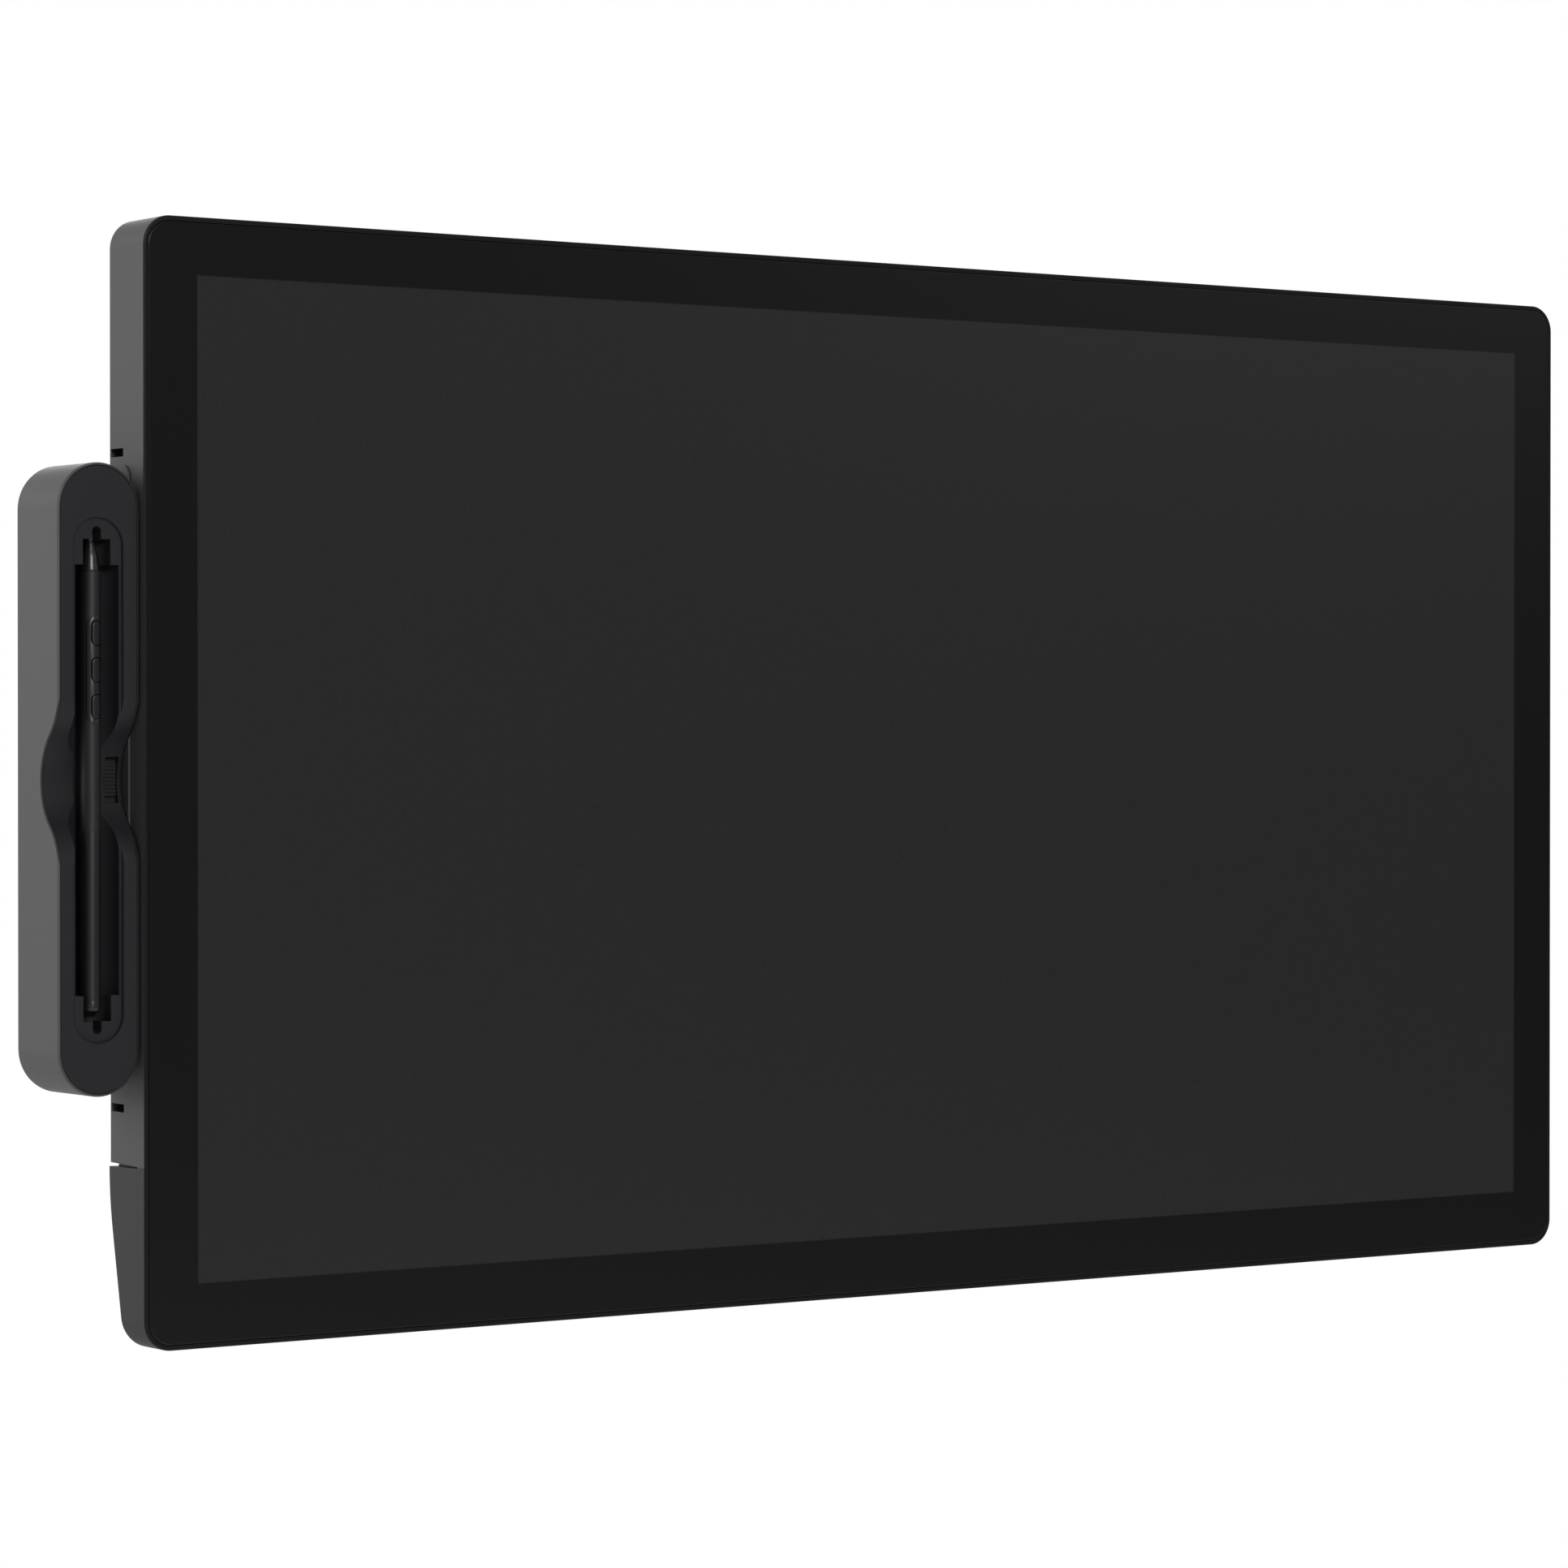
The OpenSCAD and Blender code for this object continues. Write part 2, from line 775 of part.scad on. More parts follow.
module port_bay() {
    color("#2b2b2d")
        difference() {
            translate([-bay_w / 2 + 0.2, fy(chassis_d), bay_low])
                cube([bay_w - 0.4, bulge_d - chassis_d, bay_top - 0.2 - bay_low]);
            translate([-bay_w / 2 + 0.2 + bay_wall, fy(chassis_d + bay_wall), bay_low + bay_wall])
                cube([bay_w - 0.4 - 2 * bay_wall, body_t, bay_ceiling - bay_low - bay_wall]);
            translate([-bay_w / 2 + 0.2 + bay_wall, fy(side_d), bay_low - 1])
                cube([bay_w - 0.4 - 2 * bay_wall, body_t, bay_wall + 2]);
            for (x = usb_c_x)
                socket_hole(x, usb_c_size);
            socket_hole(hdmi_x, hdmi_size);
            socket_hole(dp_x, dp_size);
            for (x = usb_a_x)
                socket_hole(x, usb_a_size);
        }
}

// Metal socket shell that faces down, with its contact tongue inside
module socket(x, size, tongue_t) {
    d = board_top + size[1] / 2;
    difference() {
        translate([x, fy(d), bay_ceiling + socket_len / 2])
            cube([size[0], size[1], socket_len], center = true);
        translate([x, fy(d), bay_ceiling + socket_len / 2 - 2])
            cube([size[0] - 2 * socket_wall, size[1] - 2 * socket_wall, socket_len], center = true);
    }
    translate([x, fy(d), bay_ceiling + socket_len / 2 + 1])
        cube([size[0] - 4, tongue_t, socket_len - 3], center = true);
}

module usb_c_sockets() {
    color("#a9adb1")
        for (x = usb_c_x)
            socket(x, usb_c_size, 0.7);
}

module hdmi_socket() {
    color("#a9adb1")
        socket(hdmi_x, hdmi_size, 1);
}

module displayport_socket() {
    color("#a9adb1")
        socket(dp_x, dp_size, 1);
}

module usb_a_sockets() {
    color("#a9adb1")
        for (x = usb_a_x)
            socket(x, usb_a_size, 1.8);
}

module fan_housing(s) {
    d1 = chassis_d + fan_t;
    difference() {
        slab(chassis_d, d1)
            translate([s * fan_x, fan_z])
                round_rect(fan_w, fan_w, 6);
        slab(chassis_d + fan_wall, d1 - fan_wall)
            translate([s * fan_x, fan_z])
                round_rect(fan_w - 2 * fan_wall, fan_w - 2 * fan_wall, 5);
        slab(chassis_d + fan_wall, d1 - fan_wall)
            translate([s * fan_x, fan_z + fan_w / 2])
                square([fan_w - 14, 6], center = true);
        bar(s * fan_x, fan_z, rotor_r - 3, d1 - fan_wall - 1, d1 + 1);
    }
    bar(s * fan_x, fan_z, pin_r, chassis_d + fan_wall - 0.1, d1 - fan_wall - 1);
}

module left_fan_housing() {
    color("#2a2a2c")
        fan_housing(-1);
}

module right_fan_housing() {
    color("#2a2a2c")
        fan_housing(1);
}

module fan_rotor(s) {
    d0 = chassis_d + fan_wall + 0.8;
    d1 = chassis_d + fan_t - fan_wall - 1;
    hub_r = 11;
    difference() {
        union() {
            bar(s * fan_x, fan_z, hub_r, d0, d1);
            bar(s * fan_x, fan_z, hub_r + 4, d0, d0 + 1);
            for (i = [0:rotor_blades - 1])
                translate([s * fan_x, fy((d0 + d1) / 2), fan_z])
                    rotate([0, i * 360 / rotor_blades, 0])
                        translate([(hub_r + rotor_r) / 2 - 0.5, 0, 0])
                            rotate([0, 12, 0])
                                cube([rotor_r - hub_r, d1 - d0 - 0.6, 1], center = true);
        }
        bar(s * fan_x, fan_z, pin_r + run_fit, d0 - 1, d1 + 1);
    }
}

module left_fan_rotor() {
    color("#1d1d1f")
        fan_rotor(-1);
}

module right_fan_rotor() {
    color("#1d1d1f")
        fan_rotor(1);
}

module heat_sinks() {
    fins = floor((sink_w - 2) / fin_step);
    color("#b9bcc0")
        for (s = [-1, 1]) {
            slab(chassis_d, chassis_d + 1.5)
                translate([s * fan_x, sink_z])
                    square([sink_w, sink_h], center = true);
            for (i = [0:fins])
                slab(chassis_d + 1.4, chassis_d + sink_t)
                    translate([s * fan_x + (i - fins / 2) * fin_step, sink_z])
                        square([1, sink_h], center = true);
        }
}

// Slotted plate that sits in a window of the raised housing, with a lip behind it
module grille(x, z, w, h) {
    slots = floor((w - 5) / slot_step);
    difference() {
        union() {
            slab(roof_d - 0.1, bulge_d - 0.2)
                translate([x, z])
                    square([w - 2 * slide_fit, h - 2 * slide_fit], center = true);
            slab(roof_d - 1, roof_d)
                translate([x, z])
                    square([w + 2 * grille_lip, h + 2 * grille_lip], center = true);
        }
        slab(roof_d - 2, bulge_d + 1)
            for (i = [0:slots - 1])
                translate([x + (i - (slots - 1) / 2) * slot_step, z])
                    square([slot_w, h - 3], center = true);
    }
}

module intake_grilles() {
    color("#39393b")
        for (s = [-1, 1])
            grille(s * fan_x, fan_z, intake_w, intake_w);
}

module exhaust_grilles() {
    color("#39393b")
        for (s = [-1, 1])
            grille(s * fan_x, exhaust_z, exhaust_w, exhaust_h);
}

function key_z(i) = tray_z + (1.5 - i) * key_step;

module grip(s) {
    difference() {
        translate([s * grip_x, 0, tray_z])
            pillow(grip_w, grip_h, grip_r, side_d, bulge_d, grip_edge);
        slab(side_d - 1, bulge_d - grip_wall)
            translate([s * grip_x, tray_z])
                round_rect(grip_w - 2 * grip_wall, grip_h - 2 * grip_wall, grip_r - grip_wall);
        for (i = [0:3])
            slab(side_d, body_t + 1)
                translate([s * grip_x, key_z(i)])
                    stadium(key_w + 2 * slide_fit, key_h + 2 * slide_fit);
    }
}

module left_grip() {
    color("#4a484a")
        grip(-1);
}

module right_grip() {
    color("#4a484a")
        grip(1);
}

module key_board(s) {
    slab(side_d, side_d + key_board_t)
        translate([s * grip_x, tray_z])
            square([key_board_w, key_board_h], center = true);
}

module left_key_board() {
    color("#1f5a3a")
        key_board(-1);
}

module right_key_board() {
    color("#1f5a3a")
        key_board(1);
}

module grip_key(s, i) {
    lip_d1 = bulge_d - grip_wall - 0.3;
    translate([s * grip_x, 0, key_z(i)])
        pillow(key_w, key_h, key_w / 2, lip_d1 - key_lip_t + 0.1, bulge_d + key_rise, 0.6);
    slab(lip_d1 - key_lip_t, lip_d1)
        translate([s * grip_x, key_z(i)])
            stadium(key_w + 2 * key_lip, key_h + 2 * key_lip);
}

module left_key_1() {
    color("#2b2b2d")
        grip_key(-1, 0);
}

module left_key_2() {
    color("#2b2b2d")
        grip_key(-1, 1);
}

module left_key_3() {
    color("#2b2b2d")
        grip_key(-1, 2);
}

module left_key_4() {
    color("#2b2b2d")
        grip_key(-1, 3);
}

module right_key_1() {
    color("#2b2b2d")
        grip_key(1, 0);
}

module right_key_2() {
    color("#2b2b2d")
        grip_key(1, 1);
}

module right_key_3() {
    color("#2b2b2d")
        grip_key(1, 2);
}

module right_key_4() {
    color("#2b2b2d")
        grip_key(1, 3);
}

module power_button() {
    color("#2b2b2d") {
        power_hole(power_w, power_h, body_h / 2 - wall - 1.9, body_h / 2 + power_rise);
        power_hole(power_w + 3, power_h + 3, body_h / 2 - wall - 1.9, body_h / 2 - wall - 0.4);
    }
}

module power_button_board() {
    color("#1f5a3a")
        upright(body_h / 2 - wall - 4, body_h / 2 - wall - 3)
            translate([power_x, power_d])
                square([32, 8], center = true);
}

// Side view of the dip that crosses the tray: a valley arc between two shoulder arcs
module dip_2d() {
    floor_d = tray_front + dip_depth;
    mid_d = floor_d - (dip_depth + dip_edge) / 2;
    half = dip_len / 2;
    intersection() {
        translate([floor_d - dip_r, dip_z])
            circle(dip_r);
        translate([tray_front, dip_z - half])
            square([dip_depth + 1, dip_len]);
    }
    translate([tray_front - 5, dip_z - half])
        square([mid_d - tray_front + 5, dip_len]);
    difference() {
        translate([tray_front - 5, dip_z - dip_len])
            square([mid_d - tray_front + 5, 2 * dip_len]);
        for (s = [-1, 1])
            translate([tray_front - dip_edge + dip_r, dip_z + s * dip_len])
                circle(dip_r);
    }
}

module dip_cut() {
    across(tray_x - tray_w, tray_x + tray_w)
        dip_2d();
}

module nose_hole(x0, x1) {
    translate([x0, fy(nose_d0 - slide_fit), latch_z - nose_h / 2 - latch_travel - 0.4])
        cube([x1 - x0, nose_d1 - nose_d0 + 2 * slide_fit, nose_h + 2 * latch_travel + 0.8]);
}

// Round bar along X
module cross_bar(d, z, r, x0, x1) {
    translate([x0, fy(d), z])
        rotate([0, 90, 0])
            cylinder(r = r, h = x1 - x0);
}

module tray_shell() {
    inner_x = tray_x + tray_w / 2 - tray_wall;
    color("#686667")
        difference() {
            union() {
                difference() {
                    translate([tray_x, 0, tray_z])
                        pillow(tray_w, tray_h, tray_w / 2, tray_front, tray_back, 3, 0.6);
                    slab(tray_front - 1, insert_d)
                        translate([tray_x, tray_z])
                            stadium(tray_w - 2 * tray_rim, tray_h - 2 * tray_rim);
                    slab(tray_front - 1, tray_back - tray_wall)
                        translate([tray_x, tray_z])
                            stadium(tray_w - 2 * tray_wall, tray_h - 2 * tray_wall);
                }
                for (z = tray_screws_at)
                    cross_bar(bracket_screw_d, z, 2.4, inner_x - 3.5, inner_x + 0.5);
            }
            dip_cut();
            nose_hole(tray_x, tray_x + tray_w);
            for (z = tray_screws_at)
                cross_bar(bracket_screw_d, z, 1, inner_x - 3, inner_x + tray_w);
        }
}

module tray_insert() {
    color("#262629")
        difference() {
            slab(tray_front, insert_d)
                translate([tray_x, tray_z])
                    stadium(insert_w, insert_h);
            dip_cut();
            recess_cut();
            upright(groove_z - trough_h / 2, groove_z + trough_h / 2)
                trough_2d(groove_w, tray_front + trough_depth);
            upright(cradle_low, cradle_top)
                trough_2d(cradle_w, cradle_bottom);
            slab(tray_front - 1, pen_depth + pocket_w / 2)
                translate([tray_x, (pocket_top + pocket_low) / 2])
                    stadium(pocket_w, pocket_top - pocket_low);
            slab(tray_front - 1, latch_floor)
                translate([latch_x, latch_z])
                    square([latch_pocket_w, latch_h + 2 * latch_travel + 0.8], center = true);
            slab(latch_floor - 1, insert_d + 1)
                translate([latch_x, latch_z])
                    square([2.4, nose_h + 2 * latch_travel + 0.8], center = true);
        }
}

// Half plan of the shallow recess with its bevelled rim
module recess_section() {
    polygon([
        [0, -1], [recess_w / 2 + groove_bevel + 1, -1], [recess_w / 2, groove_bevel],
        [recess_w / 2, recess_depth], [0, recess_depth]
    ]);
}

module recess_cut() {
    run = recess_h - recess_w;
    for (c = [[-1, 0], [1, 180]])
        translate([tray_x, fy(tray_front), groove_z + c[0] * run / 2])
            rotate([-90, 0, 0])
                rotate(c[1])
                    rotate_extrude(angle = 180)
                        recess_section();
    translate([tray_x, fy(tray_front), groove_z - run / 2])
        linear_extrude(run)
            for (s = [0, 1])
                mirror([s, 0])
                    recess_section();
}

// Plan view of a groove with a round floor
module trough_2d(w, bottom) {
    translate([tray_x, bottom - w / 2])
        circle(w / 2);
    translate([tray_x - w / 2, tray_front - 1])
        square([w, bottom - w / 2 - tray_front + 1]);
}

module tray_bracket() {
    outer = bracket_x - (tray_gap - 0.05);
    color("#686667")
        difference() {
            union() {
                across(outer, bracket_x)
                    translate([(bracket_d0 + bracket_d1) / 2, tray_z + bracket_foot / 2])
                        round_rect(bracket_d1 - bracket_d0, bracket_h, 4);
                for (z = tray_slots_at)
                    translate([outer, fy(slot_d0 + slide_fit), z - slot_h / 2 + slide_fit])
                        cube([tongue_len, slot_d1 - slot_d0 - 2 * slide_fit, slot_h - 2 * slide_fit]);
            }
            nose_hole(outer - 1, bracket_x + 1);
            for (z = tray_screws_at) {
                cross_bar(bracket_screw_d, z, 1, outer - 1, bracket_x + 1);
                cross_bar(bracket_screw_d, z, 2.2, bracket_x - 0.45, bracket_x + 1);
            }
        }
}

module tray_bracket_screws() {
    color("#8d9094")
        for (z = tray_screws_at) {
            cross_bar(bracket_screw_d, z, 2, bracket_x - 0.45, bracket_x);
            cross_bar(bracket_screw_d, z, 0.85, bracket_x - tray_gap - 4.5, bracket_x - 0.3);
        }
}

function nib_at(i) = [tray_x + 5 * (i % 3 - 1), nib_block_z + 6 * floor(i / 3) - 9];

module nib_block() {
    color("#1e1e20")
        difference() {
            slab(tray_back - tray_wall - 8, tray_back - tray_wall)
                translate([tray_x, nib_block_z])
                    round_rect(nib_block_w, nib_block_h, 3);
            for (i = [0:8])
                bar(nib_at(i)[0], nib_at(i)[1], nib_r + 0.1, tray_back - tray_wall - 6, tray_back);
            for (i = [0:8])
                bar(nib_at(i)[0], nib_at(i)[1], nib_r + 0.1, insert_d, tray_back - tray_wall - 1);
        }
}

module spare_nibs() {
    color("#3a3a3d")
        for (i = [0:8])
            bar(nib_at(i)[0], nib_at(i)[1], nib_r, insert_d + 2, tray_back - tray_wall - 1.2);
}

module tray_latch() {
    ribs = 9;
    color("#2c2c2f") {
        translate([latch_x, fy(latch_top + 0.9), latch_z])
            cube([latch_w, 0.8, latch_h], center = true);
        for (i = [0:ribs - 1])
            translate([latch_x, fy(latch_top + 0.3), latch_z + (i - (ribs - 1) / 2) * latch_h / ribs])
                cube([latch_w, 0.6, latch_h / ribs * 0.55], center = true);
        translate([latch_x, fy((latch_top + 1 + nose_d1) / 2), latch_z])
            cube([2, nose_d1 - latch_top - 1, nose_h], center = true);
        translate([latch_x, fy(nose_d0), latch_z - nose_h / 2])
            cube([-body_w / 2 + 4 - latch_x, nose_d1 - nose_d0, nose_h]);
    }
}

// Pen stands on the line of its axis with its buttons facing the front
module on_pen() {
    translate([tray_x, fy(pen_depth), 0])
        rotate([0, 0, pen_roll])
            children();
}

module tube(r, bore, z0, z1) {
    difference() {
        translate([0, 0, z0])
            cylinder(r = r, h = z1 - z0);
        translate([0, 0, z0 - 1])
            cylinder(r = bore, h = z1 - z0 + 2);
    }
}

// Long window in the pen's front, seen from the front
module pen_window(w, h, z) {
    translate([0, 0, z])
        rotate([90, 0, 0])
            linear_extrude(2 * pen_r)
                stadium(w, h);
}

function button_z(i) = bezel_z + 0.3 + (1 - i) * button_step;
bezel_w = 2 * pen_r * sin(60);

module pen_grip() {
    color("#1f1f22")
        on_pen()
            difference() {
                tube(pen_r, pen_in, pen_mid, pen_shoulder);
                pen_window(bezel_w + 0.1, bezel_h + 0.1, bezel_z);
            }
}

module pen_barrel() {
    color("#232326")
        on_pen()
            tube(pen_r, pen_in, pen_low + cap_h, pen_mid);
}

module pen_end_cap() {
    color("#232326")
        on_pen()
            translate([0, 0, pen_low])
                rotate_extrude() {
                    translate([0, cap_edge])
                        square([pen_r, cap_h - cap_edge]);
                    square([pen_r - cap_edge, cap_h]);
                    intersection() {
                        translate([pen_r - cap_edge, cap_edge])
                            circle(cap_edge);
                        square([pen_r, cap_h]);
                    }
                }
}

module pen_cone() {
    seat = 6;
    color("#18181a")
        on_pen()
            rotate_extrude()
                polygon([
                    [nib_r + run_fit, pen_shoulder - seat], [pen_in - 0.05, pen_shoulder - seat],
                    [pen_in - 0.05, pen_shoulder], [cone_r, pen_shoulder],
                    [cone_r * 0.82, pen_shoulder + 5], [cone_tip_r, pen_cone_top],
                    [nib_r + run_fit, pen_cone_top]
                ]);
}

module pen_core() {
    color("#6b5a3a")
        on_pen()
            translate([0, 0, pen_low + cap_h])
                cylinder(r = core_r, h = pen_shoulder - 10 - pen_low - cap_h);
}

module pen_switch_bezel() {
    color("#1a1a1c")
        on_pen()
            difference() {
                intersection() {
                    tube(pen_r + 0.08, pen_in, bezel_z - bezel_h, bezel_z + bezel_h);
                    pen_window(bezel_w, bezel_h, bezel_z);
                }
                for (i = [0:2])
                    pen_window(button_w + 2 * fit, button_h + 2 * fit, button_z(i));
            }
}

module pen_button(i) {
    on_pen()
        intersection() {
            tube(pen_r + button_rise, button_in, button_z(i) - button_h, button_z(i) + button_h);
            pen_window(button_w, button_h, button_z(i));
        }
}

module pen_button_1() {
    color("#29292c")
        pen_button(0);
}

module pen_button_2() {
    color("#29292c")
        pen_button(1);
}

module pen_button_3() {
    color("#29292c")
        pen_button(2);
}

module pen_nib() {
    top = pen_cone_top + nib_out;
    bottom = pen_shoulder - 9.4;
    color("#101011")
        on_pen() {
            translate([0, 0, bottom])
                cylinder(r = nib_r, h = top - nib_r - bottom);
            translate([0, 0, top - nib_r])
                sphere(r = nib_r);
        }
}

cover_glass();
front_frame();
touch_sensor();
lcd_panel();
backlight_unit();
pen_sensor_board();
chassis_plate();
chassis_screws();
rear_cover();
lower_cover();
cover_screws();
vesa_bracket();
main_board();
backlight_board();
pen_controller_board();
board_screws();
port_bay();
usb_c_sockets();
hdmi_socket();
displayport_socket();
usb_a_sockets();
left_fan_housing();
right_fan_housing();
left_fan_rotor();
right_fan_rotor();
heat_sinks();
intake_grilles();
exhaust_grilles();
left_grip();
right_grip();
left_key_board();
right_key_board();
left_key_1();
left_key_2();
left_key_3();
left_key_4();
right_key_1();
right_key_2();
right_key_3();
right_key_4();
power_button();
power_button_board();
tray_shell();
tray_insert();
tray_bracket();
tray_bracket_screws();
nib_block();
spare_nibs();
tray_latch();
pen_grip();
pen_barrel();
pen_end_cap();
pen_cone();
pen_core();
pen_switch_bezel();
pen_button_1();
pen_button_2();
pen_button_3();
pen_nib();
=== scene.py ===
"""Looks of a pen display: a 27 inch drawing screen with a pen tray on its left side and a pen in the tray."""

import json
import logging
import math
from collections.abc import Callable, Iterator
from contextlib import contextmanager
from dataclasses import dataclass
from enum import Enum
from typing import Any

import bmesh
import bpy
from mathutils import Matrix, Vector


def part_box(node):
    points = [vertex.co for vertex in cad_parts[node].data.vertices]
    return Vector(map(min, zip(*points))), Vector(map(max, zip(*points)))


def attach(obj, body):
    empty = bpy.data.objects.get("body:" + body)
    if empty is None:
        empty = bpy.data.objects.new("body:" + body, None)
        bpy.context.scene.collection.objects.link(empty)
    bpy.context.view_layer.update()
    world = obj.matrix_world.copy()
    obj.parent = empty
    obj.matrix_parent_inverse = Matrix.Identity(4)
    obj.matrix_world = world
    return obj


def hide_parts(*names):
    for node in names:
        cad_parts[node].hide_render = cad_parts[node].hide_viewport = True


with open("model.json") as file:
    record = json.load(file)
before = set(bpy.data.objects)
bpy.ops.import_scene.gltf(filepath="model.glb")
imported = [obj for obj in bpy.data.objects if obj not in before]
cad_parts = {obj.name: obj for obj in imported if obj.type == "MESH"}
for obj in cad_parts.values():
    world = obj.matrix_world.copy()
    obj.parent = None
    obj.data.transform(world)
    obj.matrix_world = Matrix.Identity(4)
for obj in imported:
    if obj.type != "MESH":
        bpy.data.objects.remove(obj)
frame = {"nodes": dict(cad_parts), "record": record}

LOG = logging.getLogger("pen_display")

# Sizes are in millimetres and angles in degrees, apart from the studio and the weld distance, which are in metres.
MM = 0.001
MOUNT_DEPTH = 31.0
WELD = 2e-6
FLAT_ANGLE = 0.05
EDGE_ANGLE = 28.0
GROWN_CREASE = 32.0
CREASE = 50.0
SOFT_CREASE = 60.0
LEAST_RADIUS = 0.05
CORNER_STEPS = 16
LATHE_STEPS = 48
NOISE_BAND = (0.3, 0.7)
EVEN = (1.0, 1.0, 1.0)
FORWARD = (0.0, -1.0, 0.0)
WHITE = (1.0, 1.0, 1.0, 1.0)

Vec = tuple[float, float, float]
Span = tuple[float, float]
Colour = tuple[float, float, float, float]
Section = list[Span]
Place = Callable[[float, float, float], Vec]
Share = Callable[[float, float, float], float]
Curve = Callable[[Vector], Vector | None]
Lean = Callable[[Vector, Vector], Vector]
NodeSocket = bpy.types.NodeSocket


def srgb(red: float, green: float, blue: float) -> Colour:
    """Linear colour of an 8 bit screen colour.

    Args:
        red: Red from 0 to 255.
        green: Green from 0 to 255.
        blue: Blue from 0 to 255.

    Returns:
        The linear colour with full alpha.
    """

    def linear(value: float) -> float:
        """Undo the screen curve for one channel."""
        share = value / 255.0
        return share / 12.92 if share <= 0.04045 else ((share + 0.055) / 1.055) ** 2.4

    return linear(red), linear(green), linear(blue), 1.0


def shaded(colour: Colour, share: float) -> Colour:
    """A colour made lighter or darker by a share."""
    return tuple(min(1.0, channel * share) for channel in colour[:3]) + (1.0,)


def at(x: float, depth: float, z: float) -> Vec:
    """Place in metres of a point across, behind the glass front and up."""
    return x * MM, (depth - MOUNT_DEPTH) * MM, z * MM


class Nodes:
    """A node tree under construction."""

    def __init__(self, tree: bpy.types.NodeTree) -> None:
        """Take over a tree."""
        self.tree = tree

    def fill(self, node: bpy.types.Node, name: str | int, value: Any) -> None:
        """Link a socket to an input of a node, or set a plain value on it.

        Args:
            node: Node to fill.
            name: Name or number of its input.
            value: Socket or plain value.
        """
        if isinstance(value, NodeSocket):
            self.tree.links.new(value, node.inputs[name])
        else:
            node.inputs[name].default_value = value

    def add(self, kind: str, inputs: dict[str | int, Any] | None = None, **settings: Any) -> bpy.types.Node:
        """Add a node and fill its inputs.

        Args:
            kind: Type name of the node.
            inputs: Sockets or plain values, by input name or number.
            **settings: Properties to set on the node.

        Returns:
            The new node.
        """
        node = self.tree.nodes.new(kind)
        for name, value in settings.items():
            setattr(node, name, value)
        for name, value in (inputs or {}).items():
            self.fill(node, name, value)
        return node

    def calc(self, operation: str, first: Any, second: Any = 0.0) -> NodeSocket:
        """One step of arithmetic on sockets or numbers."""
        return self.add("ShaderNodeMath", {0: first, 1: second}, operation=operation).outputs[0]

    def remap(self, value: NodeSocket, source: Span, target: Span = (0.0, 1.0), **settings: Any) -> NodeSocket:
        """Map a value from one range to another, clamped.

        Args:
            value: Socket to read.
            source: Range that is read.
            target: Range that comes out.
            **settings: Properties to set on the node.

        Returns:
            The mapped value.
        """
        ends = dict(zip(("From Min", "From Max", "To Min", "To Max"), (*source, *target)))
        return self.add("ShaderNodeMapRange", {"Value": value, **ends}, **settings).outputs["Result"]

    def rays(self) -> tuple[NodeSocket, NodeSocket]:
        """Whether a ray comes from the camera, and whether from a mirror or through glass."""
        path = self.add("ShaderNodeLightPath").outputs
        return path["Is Camera Ray"], self.calc("ADD", path["Is Glossy Ray"], path["Is Transmission Ray"])


class Shader(Nodes):
    """A node material around one surface shader."""

    def __init__(self, name: str) -> None:
        """Start a material with its object coordinates at hand."""
        self.material = bpy.data.materials.new(name)
        self.material.use_nodes = True
        super().__init__(self.material.node_tree)
        self.surface = self.tree.nodes["Principled BSDF"]
        self.place = self.add("ShaderNodeTexCoord").outputs["Object"]

    def set(self, **values: Any) -> None:
        """Give the surface shader plain values or sockets, with underscores for blanks in the names."""
        for name, value in values.items():
            self.fill(self.surface, name.replace("_", " "), value)

    def noise(self, size: float, detail: float = 2.0, stretch: Vec = EVEN) -> NodeSocket:
        """Noise on object coordinates.

        Args:
            size: Size of a blot.
            detail: Octaves of finer noise.
            stretch: Share of the frequency along each axis.

        Returns:
            The noise value from 0 to 1.
        """
        place = self.add("ShaderNodeMapping", {"Vector": self.place, "Scale": stretch}).outputs["Vector"]
        inputs = {"Vector": place, "Scale": 1.0 / (size * MM), "Detail": detail}
        return self.add("ShaderNodeTexNoise", inputs).outputs[0]

    def mix(self, share: NodeSocket, first: Colour | NodeSocket, second: Colour | NodeSocket) -> NodeSocket:
        """Blend two colours by the share of the second."""
        return self.add("ShaderNodeMix", {0: share, 6: first, 7: second}, data_type="RGBA").outputs[2]

    def relief(self, height: NodeSocket, depth: float) -> None:
        """Raise the surface by a bump of a depth."""
        bump = self.add("ShaderNodeBump", {"Strength": 1.0, "Distance": depth * MM, "Height": height})
        self.set(Normal=bump.outputs["Normal"])

    def texture(self, grain: NodeSocket, depth: float, roughness: float, below: float, above: float) -> None:
        """Let a grain raise the surface and vary its roughness.

        Args:
            grain: Noise of the grain.
            depth: Depth of its bump.
            roughness: Roughness of the surface.
            below: How much smoother it gets.
            above: How much rougher it gets.
        """
        self.set(Roughness=self.remap(grain, NOISE_BAND, (roughness - below, roughness + above)))
        self.relief(grain, depth)


@dataclass(frozen=True)
class Finish:
    """Look of a surface."""

    name: str

    def material(self) -> bpy.types.Material:
        """The finish's material, made once."""
        if self.name not in bpy.data.materials:
            self.paint(Shader(self.name))
        return bpy.data.materials[self.name]

    def paint(self, shader: Shader) -> None:
        """Set up the surface shader."""
        raise NotImplementedError


